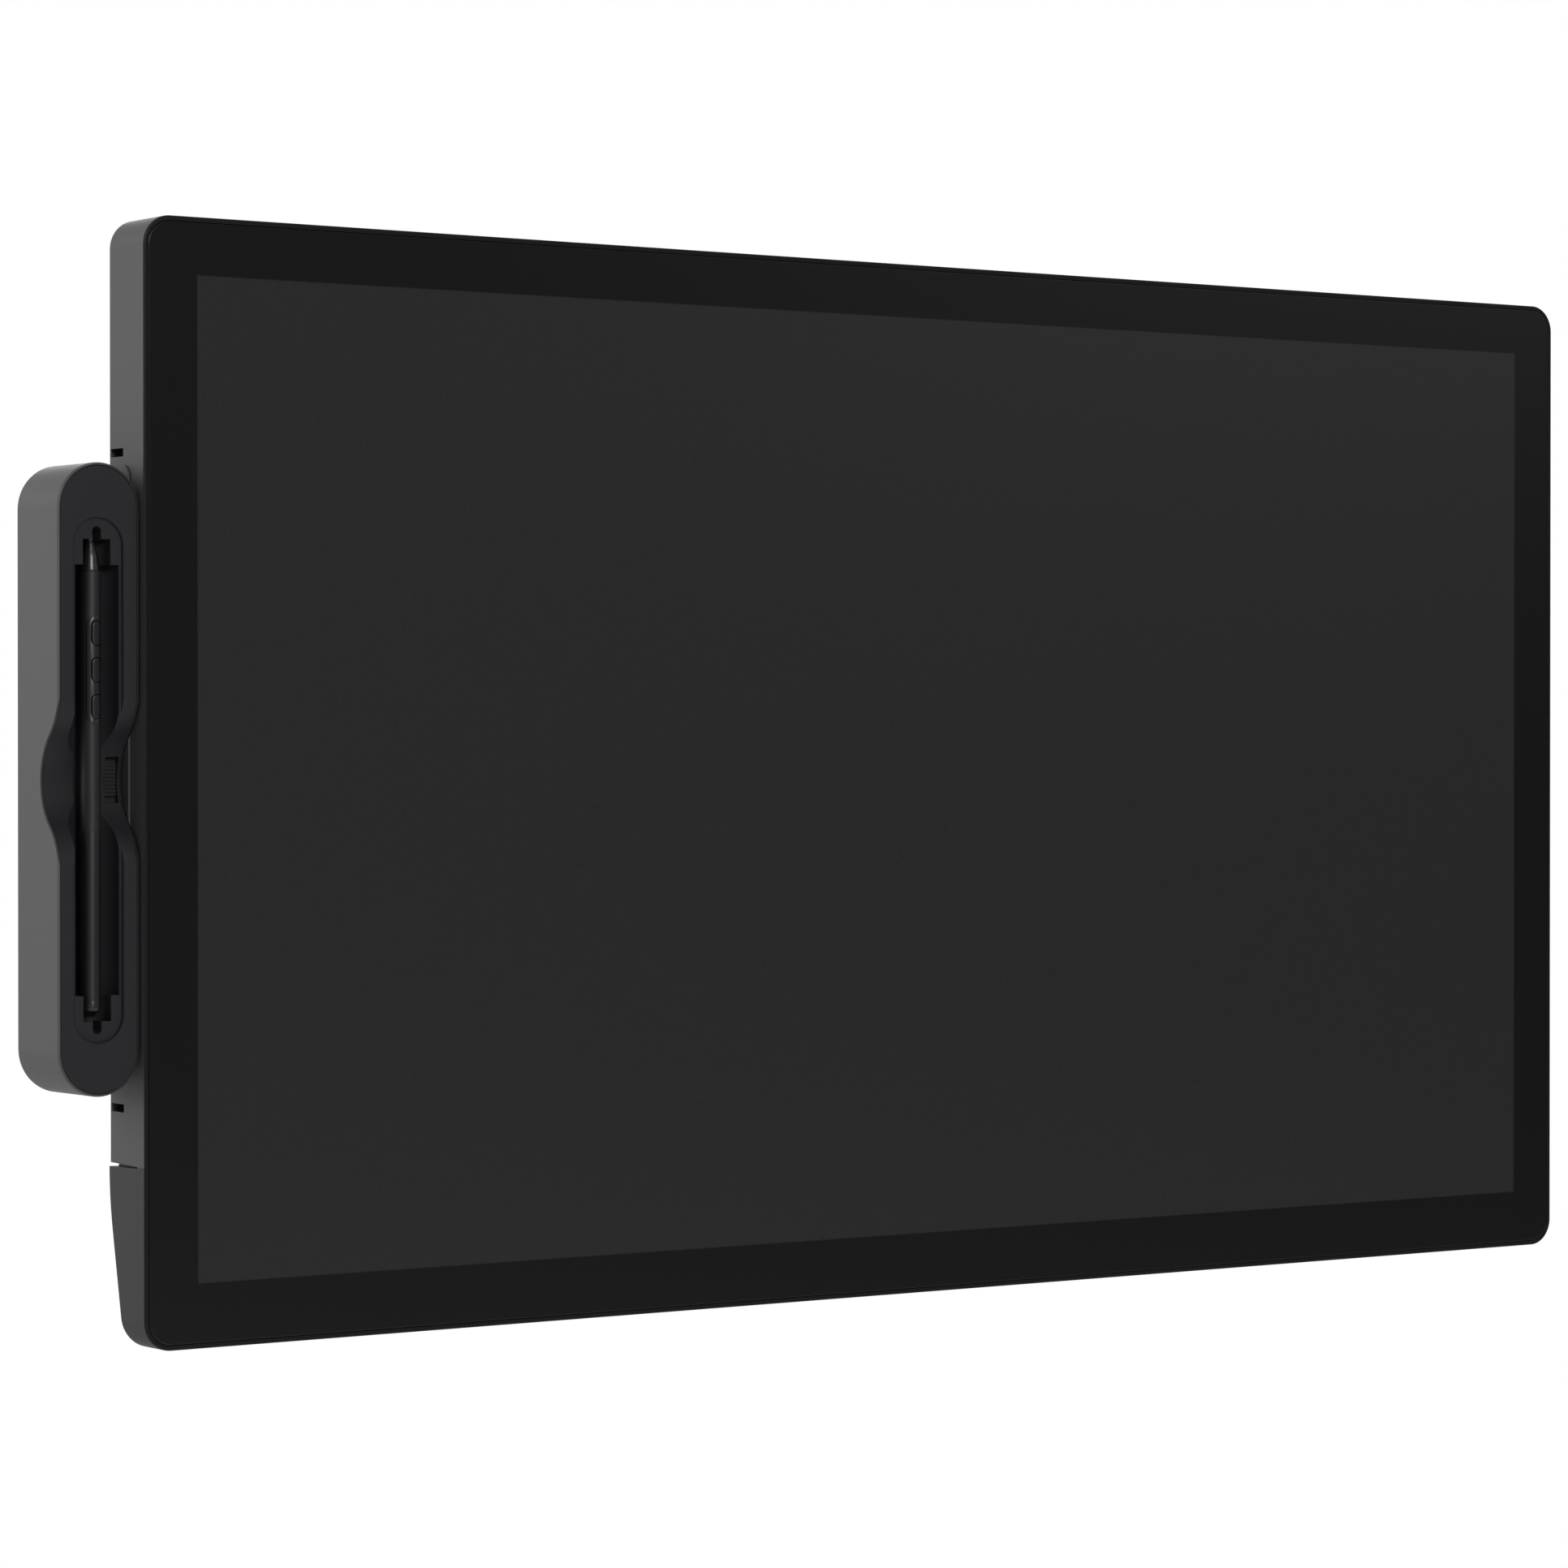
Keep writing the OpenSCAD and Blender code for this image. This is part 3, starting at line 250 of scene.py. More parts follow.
@dataclass(frozen=True)
class Moulded(Finish):
    """Moulded plastic, paint or rubber with a fine grain."""

    colour: Colour
    roughness: float = 0.5
    specular: float = 0.5
    grain: float = 0.45
    grain_depth: float = 0.012
    mottle: float = 0.05
    cloud: float = 38.0
    speck_band: Span = (0.35, 0.65)
    speck_shade: float = 0.93
    unevenness: float = 0.02

    def paint(self, shader: Shader) -> None:
        """Cloudy tone with dark specks, and a bump on the grain."""
        cloud = shader.noise(self.cloud, 3.0)
        grain = shader.noise(self.grain)
        tone = shader.mix(shader.remap(cloud, NOISE_BAND),
                          shaded(self.colour, 1.0 - self.mottle), shaded(self.colour, 1.0 + self.mottle))
        speck = shader.mix(shader.remap(grain, self.speck_band), shaded(self.colour, self.speck_shade), tone)
        shader.set(Specular_IOR_Level=self.specular, Base_Color=speck)
        shader.texture(grain, self.grain_depth, self.roughness, self.unevenness, self.unevenness)


@dataclass(frozen=True)
class Metal(Finish):
    """Sheet metal or a machined part with fine drawn lines."""

    colour: Colour
    roughness: float = 0.35
    lines: Vec = (1.0, 1.0, 0.03)
    line_size: float = 0.3
    line_depth: float = 0.004
    cloud: float = 22.0
    cloud_shade: float = 0.9
    unevenness: Span = (0.08, 0.1)

    def paint(self, shader: Shader) -> None:
        """Cloudy metal with gloss and a bump along the lines."""
        drawn = shader.noise(self.line_size, 3.0, self.lines)
        cloud = shader.remap(shader.noise(self.cloud), NOISE_BAND)
        shader.set(Metallic=1.0, Base_Color=shader.mix(cloud, shaded(self.colour, self.cloud_shade), self.colour))
        shader.texture(drawn, self.line_depth, self.roughness, *self.unevenness)


@dataclass(frozen=True)
class EtchedGlass(Finish):
    """Dark etched cover glass: a black border around the unlit picture."""

    border: Colour
    picture: Colour
    picture_size: Span
    picture_rise: float
    picture_edge: float = 0.25
    roughness: float = 0.3
    unevenness: float = 0.006
    specular: float = 0.42
    refraction: float = 1.5
    sparkle: float = 0.55
    sparkle_share: float = 0.15
    sparkle_depth: float = 0.0008

    def paint(self, shader: Shader) -> None:
        """Picture drawn from object coordinates, with a fine sparkle."""
        axes = shader.add("ShaderNodeSeparateXYZ", {0: shader.place}).outputs
        raised = shader.calc("SUBTRACT", axes["Z"], self.picture_rise * MM)
        edge = self.picture_edge * MM
        within_sides = []
        for way, length in zip((axes["X"], raised), self.picture_size):
            half = length * 0.5 * MM
            within_sides.append(shader.remap(shader.calc("ABSOLUTE", way), (half - edge, half + edge), (1.0, 0.0)))
        grain = shader.noise(self.sparkle, 1.0)
        lively = shader.mix(shader.remap(grain, NOISE_BAND), shaded(self.picture, 1.0 - self.sparkle_share),
                            shaded(self.picture, 1.0 + self.sparkle_share))
        shader.set(Specular_IOR_Level=self.specular, IOR=self.refraction,
                   Base_Color=shader.mix(shader.calc("MULTIPLY", *within_sides), self.border, lively))
        shader.texture(grain, self.sparkle_depth, self.roughness, self.unevenness, self.unevenness)


@dataclass(frozen=True)
class CircuitBoard(Finish):
    """Printed board: solder mask over copper runs."""

    mask: Colour
    copper: Colour
    roughness: float = 0.4
    cell: float = 6.4
    run_band: Span = (0.02, 0.05)
    run_depth: float = 0.05
    patch: float = 9.0
    patch_band: Span = (0.45, 0.55)

    def paint(self, shader: Shader) -> None:
        """Raised runs along the edges of cells, in patches."""
        cells = shader.add("ShaderNodeTexVoronoi", {"Vector": shader.place, "Scale": 1.0 / (self.cell * MM)},
                           feature="DISTANCE_TO_EDGE")
        runs = shader.remap(cells.outputs["Distance"], self.run_band, (1.0, 0.0))
        share = shader.calc("MULTIPLY", runs, shader.remap(shader.noise(self.patch, 1.0), self.patch_band))
        shader.set(Roughness=self.roughness, Base_Color=shader.mix(share, self.mask, self.copper))
        shader.relief(share, self.run_depth)


def body_of(node: str) -> str:
    """Name of the moving body that a node belongs to."""
    bodies = frame["record"]["behaviour"]["bodies"]
    return next(body for body, nodes in bodies.items() if node in nodes)


def new_object(name: str, data: bpy.types.ID) -> bpy.types.Object:
    """Put a mesh, lamp or camera into the scene at the origin."""
    obj = bpy.data.objects.new(name, data)
    bpy.context.scene.collection.objects.link(obj)
    return obj


@contextmanager
def editing(mesh: bpy.types.Mesh) -> Iterator[bmesh.types.BMesh]:
    """Open a mesh for editing and write it back at the end.

    Args:
        mesh: Mesh to edit.

    Yields:
        The open mesh.
    """
    work = bmesh.new()
    work.from_mesh(mesh)
    yield work
    work.to_mesh(mesh)
    work.free()


def from_points(name: str, points: list[Vec], faces: list[tuple[int, ...]]) -> bpy.types.Object:
    """Make a closed mesh object with its faces turned outwards.

    Args:
        name: Name of the piece.
        points: Points in metres.
        faces: Corner numbers of each face.

    Returns:
        The new object.
    """
    mesh = bpy.data.meshes.new(name)
    mesh.from_pydata(points, [], faces)
    with editing(mesh) as work:
        bmesh.ops.recalc_face_normals(work, faces=work.faces)
    return new_object(name, mesh)


def baked(obj: bpy.types.Object) -> bpy.types.Object:
    """Turn an object's modifiers into plain mesh."""
    graph = bpy.context.evaluated_depsgraph_get()
    mesh = bpy.data.meshes.new_from_object(obj.evaluated_get(graph), preserve_all_data_layers=True, depsgraph=graph)
    obj.modifiers.clear()
    obj.data = mesh
    return obj


def creased(obj: bpy.types.Object, angle: float) -> bpy.types.Object:
    """Shade an object smooth apart from its edges over an angle."""
    obj.data.shade_smooth()
    obj.data.set_sharp_from_angle(angle=math.radians(angle))
    return obj


def merge(target: bpy.types.Object, extra: bpy.types.Object, number: int = 0) -> None:
    """Add the mesh of one object to another and remove the first.

    Args:
        target: Object that keeps everything.
        extra: Object whose mesh is added.
        number: Material number of the faces that are added.
    """
    extra.data.polygons.foreach_set("material_index", [number] * len(extra.data.polygons))
    with editing(target.data) as work:
        work.from_mesh(extra.data)
    bpy.data.objects.remove(extra)
    creased(target, GROWN_CREASE)


def within(low: float, high: float, share: float) -> Share:
    """Gives a share of a rounding's width between two depths, and all of it elsewhere."""
    return lambda _x, depth, _z: share if low < depth < high else 1.0


def weigh_edges(mesh: bpy.types.Mesh, share: Share | None) -> None:
    """Choose the edges that are rounded and how wide.

    Args:
        mesh: Mesh whose edges get a weight.
        share: Gives the share of the full width at the middle of an edge; otherwise all of it.
    """
    with editing(mesh) as work:
        weight = work.edges.layers.float.new("bevel_weight_edge")
        for edge in work.edges:
            if edge.calc_face_angle(0.0) > math.radians(EDGE_ANGLE):
                middle = (edge.verts[0].co + edge.verts[1].co) / (2.0 * MM)
                edge[weight] = share(middle.x, middle.y + MOUNT_DEPTH, middle.z) if share else 1.0


def softened(obj: bpy.types.Object, radius: float = 0.0, crease: float = CREASE,
             share: Share | None = None) -> bpy.types.Object:
    """Round an object's sharp edges and keep its flat faces flat.

    Args:
        obj: Object to round.
        radius: Width of the rounding, or 0 for none.
        crease: Least angle of an edge that still shows as one.
        share: Gives the share of the full width at a place across, deep and up.

    Returns:
        The same object with a plain mesh.
    """
    if radius > 0.0:
        weigh_edges(obj.data, share)
        bevel = obj.modifiers.new("Rounding", "BEVEL")
        bevel.width = radius * MM
        bevel.segments = 2
        bevel.limit_method = "WEIGHT"
        bevel.use_clamp_overlap = False
        bevel.miter_outer = "MITER_ARC"
        bevel.loop_slide = False
        baked(obj)
    flatness = creased(obj, crease).modifiers.new("Flatness", "WEIGHTED_NORMAL")
    flatness.weight = 90
    flatness.keep_sharp = True
    return baked(obj)


def dress(obj: bpy.types.Object, finish: Finish | list[Finish], body: str, node: str) -> bpy.types.Object:
    """Give a piece its finish and its place in the part.

    Args:
        obj: Piece to dress.
        finish: Its finish, or its finishes in the order of the faces' material numbers.
        body: Moving body that it rides on.
        node: Solid that it stands for.

    Returns:
        The same object.
    """
    finishes = finish if isinstance(finish, list) else [finish]
    numbers = [face.material_index for face in obj.data.polygons]
    obj.data.materials.clear()
    for each in finishes:
        obj.data.materials.append(each.material())
    obj.data.polygons.foreach_set("material_index", numbers)
    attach(obj, body)
    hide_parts(node)
    LOG.info("%s: %d faces, %s", obj.name, len(obj.data.polygons), ", ".join(each.name for each in finishes))
    return obj


def refine(node: str, finish: Finish, radius: float, share: Share | None = None) -> bpy.types.Object:
    """Make a softened copy of a solid that stands for it.

    Args:
        node: Name of the solid.
        finish: Finish of the copy.
        radius: Width of the rounding.
        share: Gives the share of the full width at a place across, deep and up.

    Returns:
        The finished piece.
    """
    mesh = bpy.data.meshes.new(f"{node}_finished")
    with editing(mesh) as work:
        work.from_mesh(frame["nodes"][node].data)
        bmesh.ops.remove_doubles(work, verts=work.verts, dist=WELD)
        flat = [edge for edge in work.edges if edge.calc_face_angle(1.0) < math.radians(FLAT_ANGLE)]
        bmesh.ops.beautify_fill(work, faces=work.faces, edges=flat, method="ANGLE")
    obj = softened(new_object(mesh.name, mesh), radius, share=share)
    return dress(obj, finish, body_of(node), node)


def follow(obj: bpy.types.Object, surface: Curve, closeness: float = 0.97, lean: Lean | None = None) -> None:
    """Shade the faces that lie on a curved surface with the normals of that surface.

    Args:
        obj: Finished piece.
        surface: Gives the outward normal at a point in metres, or None away from the surface.
        closeness: Least cosine between a face's own normal and the surface's.
        lean: Turns the normal at a point further, as on a small rounding.
    """
    mesh = obj.data
    normals = [normal.vector.copy() for normal in mesh.corner_normals]
    for face in mesh.polygons:
        outward = surface(face.center)
        if outward is None or face.normal.dot(outward) < closeness:
            continue
        for corner in face.loop_indices:
            point = mesh.vertices[mesh.loops[corner].vertex_index].co
            normal = surface(point) or outward
            normals[corner] = lean(point, normal) if lean else normal
    mesh.normals_split_custom_set(normals)


def carry(node: str, finish: Finish) -> None:
    """Give a solid that stays as it is a finish of its own."""
    mesh = frame["nodes"][node].data
    mesh.materials.clear()
    mesh.materials.append(finish.material())
    LOG.info("%s: solid kept, %s", node, finish.name)


def rounded_outline(width: float, height: float, radius: float) -> Section:
    """Outline of a rounded rectangle.

    Args:
        width: Width of the rectangle.
        height: Height of the rectangle.
        radius: Corner radius.

    Returns:
        Points in order around the outline.
    """
    points: Section = []
    for corner, (side_x, side_z) in enumerate(((1, 1), (-1, 1), (-1, -1), (1, -1))):
        for step in range(CORNER_STEPS + 1):
            turn = math.radians(90.0 * (corner + step / CORNER_STEPS))
            points.append((side_x * (width / 2 - radius) + radius * math.cos(turn),
                           side_z * (height / 2 - radius) + radius * math.sin(turn)))
    return points


def strip_faces(rows: int, count: int, closed: bool = False) -> list[tuple[int, ...]]:
    """Faces of a tube of equal rings.

    Args:
        rows: Number of rings.
        count: Points in each ring.
        closed: Whether the last ring joins the first; otherwise both ends are capped.

    Returns:
        Corner numbers of each face.
    """
    faces: list[tuple[int, ...]] = []
    for row in range(rows if closed else rows - 1):
        low, high = row * count, (row + 1) % rows * count
        for index in range(count):
            after = (index + 1) % count
            faces.append((low + index, low + after, high + after, high + index))
    if not closed:
        faces += [tuple(range(count)), tuple(range((rows - 1) * count, rows * count))]
    return faces


def framed(name: str, size: Vec, section: Section, closed: bool = False, place: Place = at) -> bpy.types.Object:
    """Sweep a section around a rounded rectangle.

    Args:
        name: Name of the piece.
        size: Width, height and corner radius.
        section: Points as distance in from the outline and depth.
        closed: Whether the section closes on itself; otherwise both ends are capped.
        place: Turns a point across, along and up the sweep into its place in metres.

    Returns:
        The new object.
    """
    width, height, radius = size
    points: list[Vec] = []
    for inset, depth in section:
        outline = rounded_outline(width - 2 * inset, height - 2 * inset, max(radius - inset, LEAST_RADIUS))
        points += [place(x, depth, z) for x, z in outline]
    return from_points(name, points, strip_faces(len(section), len(points) // len(section), closed))


def lathe(name: str, section: Section, foot: Vec) -> bpy.types.Object:
    """Turn a closed section about an axis along Y.

    Args:
        name: Name of the piece.
        section: Points as radius and height along Y, closing on themselves.
        foot: Where the axis starts, in metres.

    Returns:
        The new object.
    """
    points: list[Vec] = []
    for radius, height in section:
        for index in range(LATHE_STEPS):
            turn = math.tau * index / LATHE_STEPS
            points.append((foot[0] + radius * math.cos(turn) * MM, foot[1] + height * MM,
                           foot[2] + radius * math.sin(turn) * MM))
    return from_points(name, points, strip_faces(len(section), LATHE_STEPS, True))


class Grown(Nodes):
    """A geometry node tree with named inputs that grows repeated shapes on points."""

    def __init__(self, name: str, lengths: tuple[str, ...] = (), **others: str) -> None:
        """Start a tree with its named inputs.

        Args:
            name: Name of the tree.
            lengths: Names of the inputs that are lengths.
            **others: Kind of socket of each other input.
        """
        super().__init__(bpy.data.node_groups.new(name, "GeometryNodeTree"))
        self.entry, self.exit = (self.tree.nodes.new(f"NodeGroup{end}") for end in ("Input", "Output"))
        kinds = {"Geometry": "Geometry", **dict.fromkeys(lengths, "Float"), **others, "Material": "Material"}
        for label, kind in kinds.items():
            self.tree.interface.new_socket(label, in_out="INPUT", socket_type=f"NodeSocket{kind}")
        self.tree.interface.new_socket("Geometry", in_out="OUTPUT", socket_type="NodeSocketGeometry")

    def fill(self, node: bpy.types.Node, name: str | int, value: Any) -> None:
        """Fill an input of a node as usual, or from the tree's own input that is named."""
        super().fill(node, name, self.entry.outputs[value] if isinstance(value, str) else value)

    def vector(self, **axes: Any) -> NodeSocket:
        """Vector of sockets, input names or numbers along the named axes."""
        return self.add("ShaderNodeCombineXYZ", axes).outputs[0]

    def sweep(self, path: NodeSocket, profile: NodeSocket) -> NodeSocket:
        """Closed bar of a profile along a path."""
        return self.add("GeometryNodeCurveToMesh",
                        {"Curve": path, "Profile Curve": profile, "Fill Caps": True}).outputs[0]

    def repeat(self, points: Any, shape: NodeSocket, **turn: NodeSocket) -> NodeSocket:
        """Copies of a shape on points, as instances."""
        return self.add("GeometryNodeInstanceOnPoints", {"Points": points, "Instance": shape, **turn}).outputs[0]

    def close(self, shape: NodeSocket) -> None:
        """Realize the instances of a shape, set the material and end the tree."""
        solid = self.add("GeometryNodeRealizeInstances", {0: shape}).outputs[0]
        self.fill(self.exit, 0, self.add("GeometryNodeSetMaterial", {0: solid, "Material": "Material"}).outputs[0])

    def grow(self, name: str, points: list[Vec], finish: Finish, values: dict[str, Any]) -> bpy.types.Object:
        """Grow the tree on some points and keep the result as a plain mesh.

        Args:
            name: Name of the piece.
            points: Points that carry the shape, in metres.
            finish: Finish of the shape.
            values: Value of each other input.

        Returns:
            The new object.
        """
        mesh = bpy.data.meshes.new(name)
        mesh.from_pydata(points, [], [])
        obj = new_object(name, mesh)
        modifier = obj.modifiers.new("Growth", "NODES")
        modifier.node_group = self.tree
        given = {"Material": finish.material(), **values}
        for item in self.tree.interface.items_tree:
            if item.in_out == "INPUT" and item.name in given:
                value = given[item.name]
                modifier[item.identifier] = value * MM if isinstance(value, float) else value
        return creased(baked(obj), GROWN_CREASE)


class SlatRow(Grown):
    """Row of rounded slats: grille bars, cooling fins or contacts."""

    def __init__(self) -> None:
        """Build the tree: one rounded bar, a line of bars, and a line on every point."""
        super().__init__("slat_row", ("Step", "Width", "Depth", "Length", "Rounding"), Count="Int")
        outline = self.add("GeometryNodeCurvePrimitiveQuadrilateral", {"Width": "Width", "Height": "Depth"})
        rounded = self.add("GeometryNodeFilletCurve",
                           {"Curve": outline.outputs[0], "Count": 3, "Radius": "Rounding", "Limit Radius": True},
                           mode="POLY")
        half = self.calc("MULTIPLY", "Length", 0.5)
        low = self.vector(Z=self.calc("MULTIPLY", half, -1.0))
        run = self.add("GeometryNodeCurvePrimitiveLine", {"Start": low, "End": self.vector(Z=half)})
        bar = self.sweep(run.outputs[0], rounded.outputs[0])
        reach = self.calc("MULTIPLY", self.calc("SUBTRACT", "Count", 1.0), "Step")
        first = self.vector(X=self.calc("MULTIPLY", reach, -0.5))
        line = self.add("GeometryNodeMeshLine",
                        {"Count": "Count", "Start Location": first, "Offset": self.vector(X="Step")})
        self.close(self.repeat("Geometry", self.repeat(line.outputs[0], bar)))


class BladeRing(Grown):
    """Ring of swept blades around an axis along Y."""

    def __init__(self) -> None:
        """Build the tree: one curved blade, and a turned copy for every count."""
        super().__init__("blade_ring", ("Hub", "Tip", "Sweep", "Depth", "Thickness"), Count="Int")
        bend, tip_share = 0.15, 0.97
        middle = self.vector(X=self.calc("MULTIPLY", self.calc("ADD", "Hub", "Tip"), 0.5),
                             Z=self.calc("MULTIPLY", "Sweep", bend))
        tip = self.vector(X=self.calc("MULTIPLY", "Tip", tip_share), Z="Sweep")
        spine = self.add("GeometryNodeCurveQuadraticBezier",
                         {"Resolution": 8, "Start": self.vector(X="Hub"), "Middle": middle, "End": tip})
        outline = self.add("GeometryNodeCurvePrimitiveQuadrilateral", {"Width": "Depth", "Height": "Thickness"})
        blade = self.sweep(spine.outputs[0], outline.outputs[0])
        seats = self.add("GeometryNodePoints", {"Count": "Count"})
        share = self.calc("DIVIDE", self.add("GeometryNodeInputIndex").outputs[0], "Count")
        turn = self.vector(Y=self.calc("MULTIPLY", share, math.tau))
        turned = self.add("FunctionNodeEulerToRotation", {0: turn}).outputs[0]
        self.close(self.repeat("Geometry", self.repeat(seats.outputs[0], blade, Rotation=turned)))


class FastenerSet(Grown):
    """Copies of one fastener on points."""

    def __init__(self) -> None:
        """Build the tree: the fastener's own shape on every point."""
        super().__init__("fastener_set", Fastener="Object")
        shape = self.add("GeometryNodeObjectInfo", {"Object": "Fastener"})
        self.close(self.repeat("Geometry", shape.outputs["Geometry"]))


class Side(Enum):
    """The two sides of the display, seen from the front."""

    LEFT = -1
    RIGHT = 1

    @property
    def word(self) -> str:
        """Name of the side in the names of the pieces."""
        return self.name.lower()


class Palette:
    """Every finish of the part, by the piece that wears it, with its values in the order of the finish's fields."""

    FRAME = Moulded("front_frame_plastic", srgb(14, 14, 15), 0.42, 0.28, 0.4, 0.006)
    REAR = Moulded("rear_cover_paint", srgb(81, 79, 80), 0.52, 0.25, 0.4, 0.01, 0.03)
    LOWER = Moulded("lower_cover_paint", srgb(43, 41, 43), 0.52, 0.25, 0.4, 0.01, 0.03)
    SHELL = Moulded("tray_shell_paint", srgb(86, 84, 85), 0.5, 0.25, 0.4, 0.01, 0.03)
    INSERT = Moulded("tray_insert_plastic", srgb(42, 42, 45), 0.5, 0.2, 0.5, 0.006)
    BRACKET = Moulded("tray_bracket_paint", srgb(78, 76, 77), 0.52, 0.25, 0.4, 0.01, 0.03)
    DARK = Moulded("dark_plastic", srgb(40, 40, 42), 0.5, 0.4)
    GRIP = Moulded("grip_rubber", srgb(66, 64, 66), 0.68, 0.35, 0.8, 0.05)
    NIB_BLOCK = Moulded("nib_block_rubber", srgb(30, 30, 32), 0.75, 0.3, 0.6, 0.03)
    NIB = Moulded("nib_plastic", srgb(52, 52, 55), 0.5, 0.4)
    PEN_GRIP = Moulded("pen_grip_rubber", srgb(24, 24, 26), 0.5, 0.5, 0.5, 0.004)
    PEN_BODY = Moulded("pen_barrel_plastic", srgb(24, 24, 26), 0.34, 0.7, 0.5, 0.003)
    PEN_BUTTON = Moulded("pen_button_plastic", srgb(26, 26, 28), 0.36, 0.5, 0.5, 0.003)
    STEEL = Metal("zinc_steel", srgb(176, 178, 181), 0.38, EVEN, 0.8)
    BLACK_STEEL = Metal("blackened_steel", srgb(70, 70, 73), 0.42, EVEN, 0.6)
    SHEET = Metal("galvanised_sheet", srgb(182, 185, 188), 0.42)
    MOUNT = Metal("mounting_plate_steel", srgb(112, 114, 118), 0.4)
    FIN = Metal("drawn_aluminium", srgb(196, 198, 202), 0.34)
    SOCKET = Metal("socket_shell_steel", srgb(186, 189, 193), 0.3, EVEN, 1.4)
    CONTACT = Metal("gilded_contact", srgb(214, 178, 106), 0.28, EVEN, 0.9)
    TONGUE = Moulded("socket_tongue_plastic", srgb(22, 22, 23), 0.45, 0.45, 0.3, 0.004)
    BOARD = CircuitBoard("green_board", srgb(24, 74, 46), srgb(70, 120, 74))
    PANEL = Moulded("panel_film", srgb(28, 31, 36), 0.25, 0.5, 0.3, 0.002)
    BACKLIGHT = Moulded("backlight_film", srgb(214, 218, 222), 0.4, 0.4, 0.3, 0.004)


@dataclass(frozen=True)
class Lamp:
    """Soft square lamp aimed at the part: its place and side in metres, its power in watts."""

    name: str
    place: Vec
    power: float
    side: float

    def hang(self) -> None:
        """Put the lamp into the scene."""
        data = bpy.data.lights.new(self.name, "AREA")
        data.energy = self.power
        data.size = self.side
        aim(new_object(self.name, data), self.place, -Vector(self.place))


def aim(obj: bpy.types.Object, place: Vec, look: Vector) -> None:
    """Set a lamp or camera on its place, looking along a direction."""
    obj.location = place
    obj.rotation_euler = look.to_track_quat("-Z", "Y").to_euler()


@dataclass
class Studio:
    """Camera, lamps, world and floor, in metres."""

    eye: Vec = (-1.1154, -1.5283, 0.0149)
    look: Vec = (0.5763, 0.8172, -0.0089)
    lens: float = 116.83
    sensor: float = 36.0
    clip_start: float = 0.01
    floor_z: float = -0.55
    floor_reach: float = 1.6
    floor_steps: int = 96
    floor_fade: Span = (0.95, 1.45)
    floor_tone: Colour = (0.86, 0.86, 0.86, 1.0)
    floor_roughness: float = 0.9
    room_dim: float = 0.125
    room_turn: Span = (0.0, 0.8)
    lamps: tuple[Lamp, ...] = (
        Lamp("left_lamp", (-2.0, 1.5, 0.7), 18.5, 1.4),
        Lamp("front_lamp", (-0.6, -2.3, 0.8), 25.0, 0.55),
        Lamp("right_lamp", (1.94, -1.6, 1.18), 4.5, 1.6),
        Lamp("top_lamp", (0.3, 0.6, 2.4), 12.0, 1.6),
        Lamp("rear_lamp", (1.0, 2.2, 0.9), 13.0, 1.4),
    )

    def camera(self) -> None:
        """Camera at the photograph's viewing angle."""
        data = bpy.data.cameras.new("camera")
        data.lens = self.lens
        data.sensor_width = self.sensor
        data.clip_start = self.clip_start
        camera = new_object("camera", data)
        aim(camera, self.eye, Vector(self.look))
        bpy.context.scene.camera = camera

    def world(self) -> None:
        """White backdrop for the camera, mirrors and glass, in a room that is dim in front of the part."""
        world = bpy.data.worlds.new("studio")
        world.use_nodes = True
        bpy.context.scene.world = world
        nodes = Nodes(world.node_tree)
        nodes.tree.nodes.clear()
        way = nodes.add("ShaderNodeSeparateXYZ", {0: nodes.add("ShaderNodeTexCoord").outputs["Generated"]})
        behind = nodes.remap(way.outputs["Y"], self.room_turn, interpolation_type="SMOOTHSTEP")
        level = nodes.remap(behind, (0.0, 1.0), (self.room_dim, 1.0))
        room, seen = (nodes.add("ShaderNodeBackground", {"Color": WHITE, "Strength": strength}).outputs[0]
                      for strength in (level, 1.0))
        direct, mirrored = nodes.rays()
        shown = nodes.calc("ADD", direct, nodes.calc("MULTIPLY", mirrored, behind))
        mix = nodes.add("ShaderNodeMixShader", {0: shown, 1: room, 2: seen})
        nodes.add("ShaderNodeOutputWorld", {"Surface": mix.outputs[0]})

    def floor(self) -> None:
        """Pale floor that keeps the shadow near the part and runs out into white."""
        mesh = bpy.data.meshes.new("floor")
        turns = [math.tau * index / self.floor_steps for index in range(self.floor_steps)]
        rim = [(self.floor_reach * math.cos(turn), self.floor_reach * math.sin(turn), self.floor_z) for turn in turns]
        mesh.from_pydata(rim, [], [tuple(range(self.floor_steps))])
        floor = new_object("floor", mesh)
        shader = Shader("pale_floor")
        shader.set(Base_Color=self.floor_tone, Roughness=self.floor_roughness)
        length = shader.add("ShaderNodeVectorMath", {0: shader.place}, operation="LENGTH")
        far = shader.remap(length.outputs["Value"], self.floor_fade)
        shown = shader.calc("MULTIPLY", far, shader.calc("ADD", *shader.rays()))
        white = shader.add("ShaderNodeEmission").outputs[0]
        mix = shader.add("ShaderNodeMixShader", {0: shown, 1: shader.surface.outputs[0], 2: white})
        shader.fill(shader.tree.nodes["Material Output"], "Surface", mix.outputs[0])
        mesh.materials.append(shader.material)

    def build(self) -> None:
        """Set up the whole studio."""
        bpy.context.scene.view_settings.view_transform = "Standard"
        self.camera()
        self.world()
        for lamp in self.lamps:
            lamp.hang()
        self.floor()


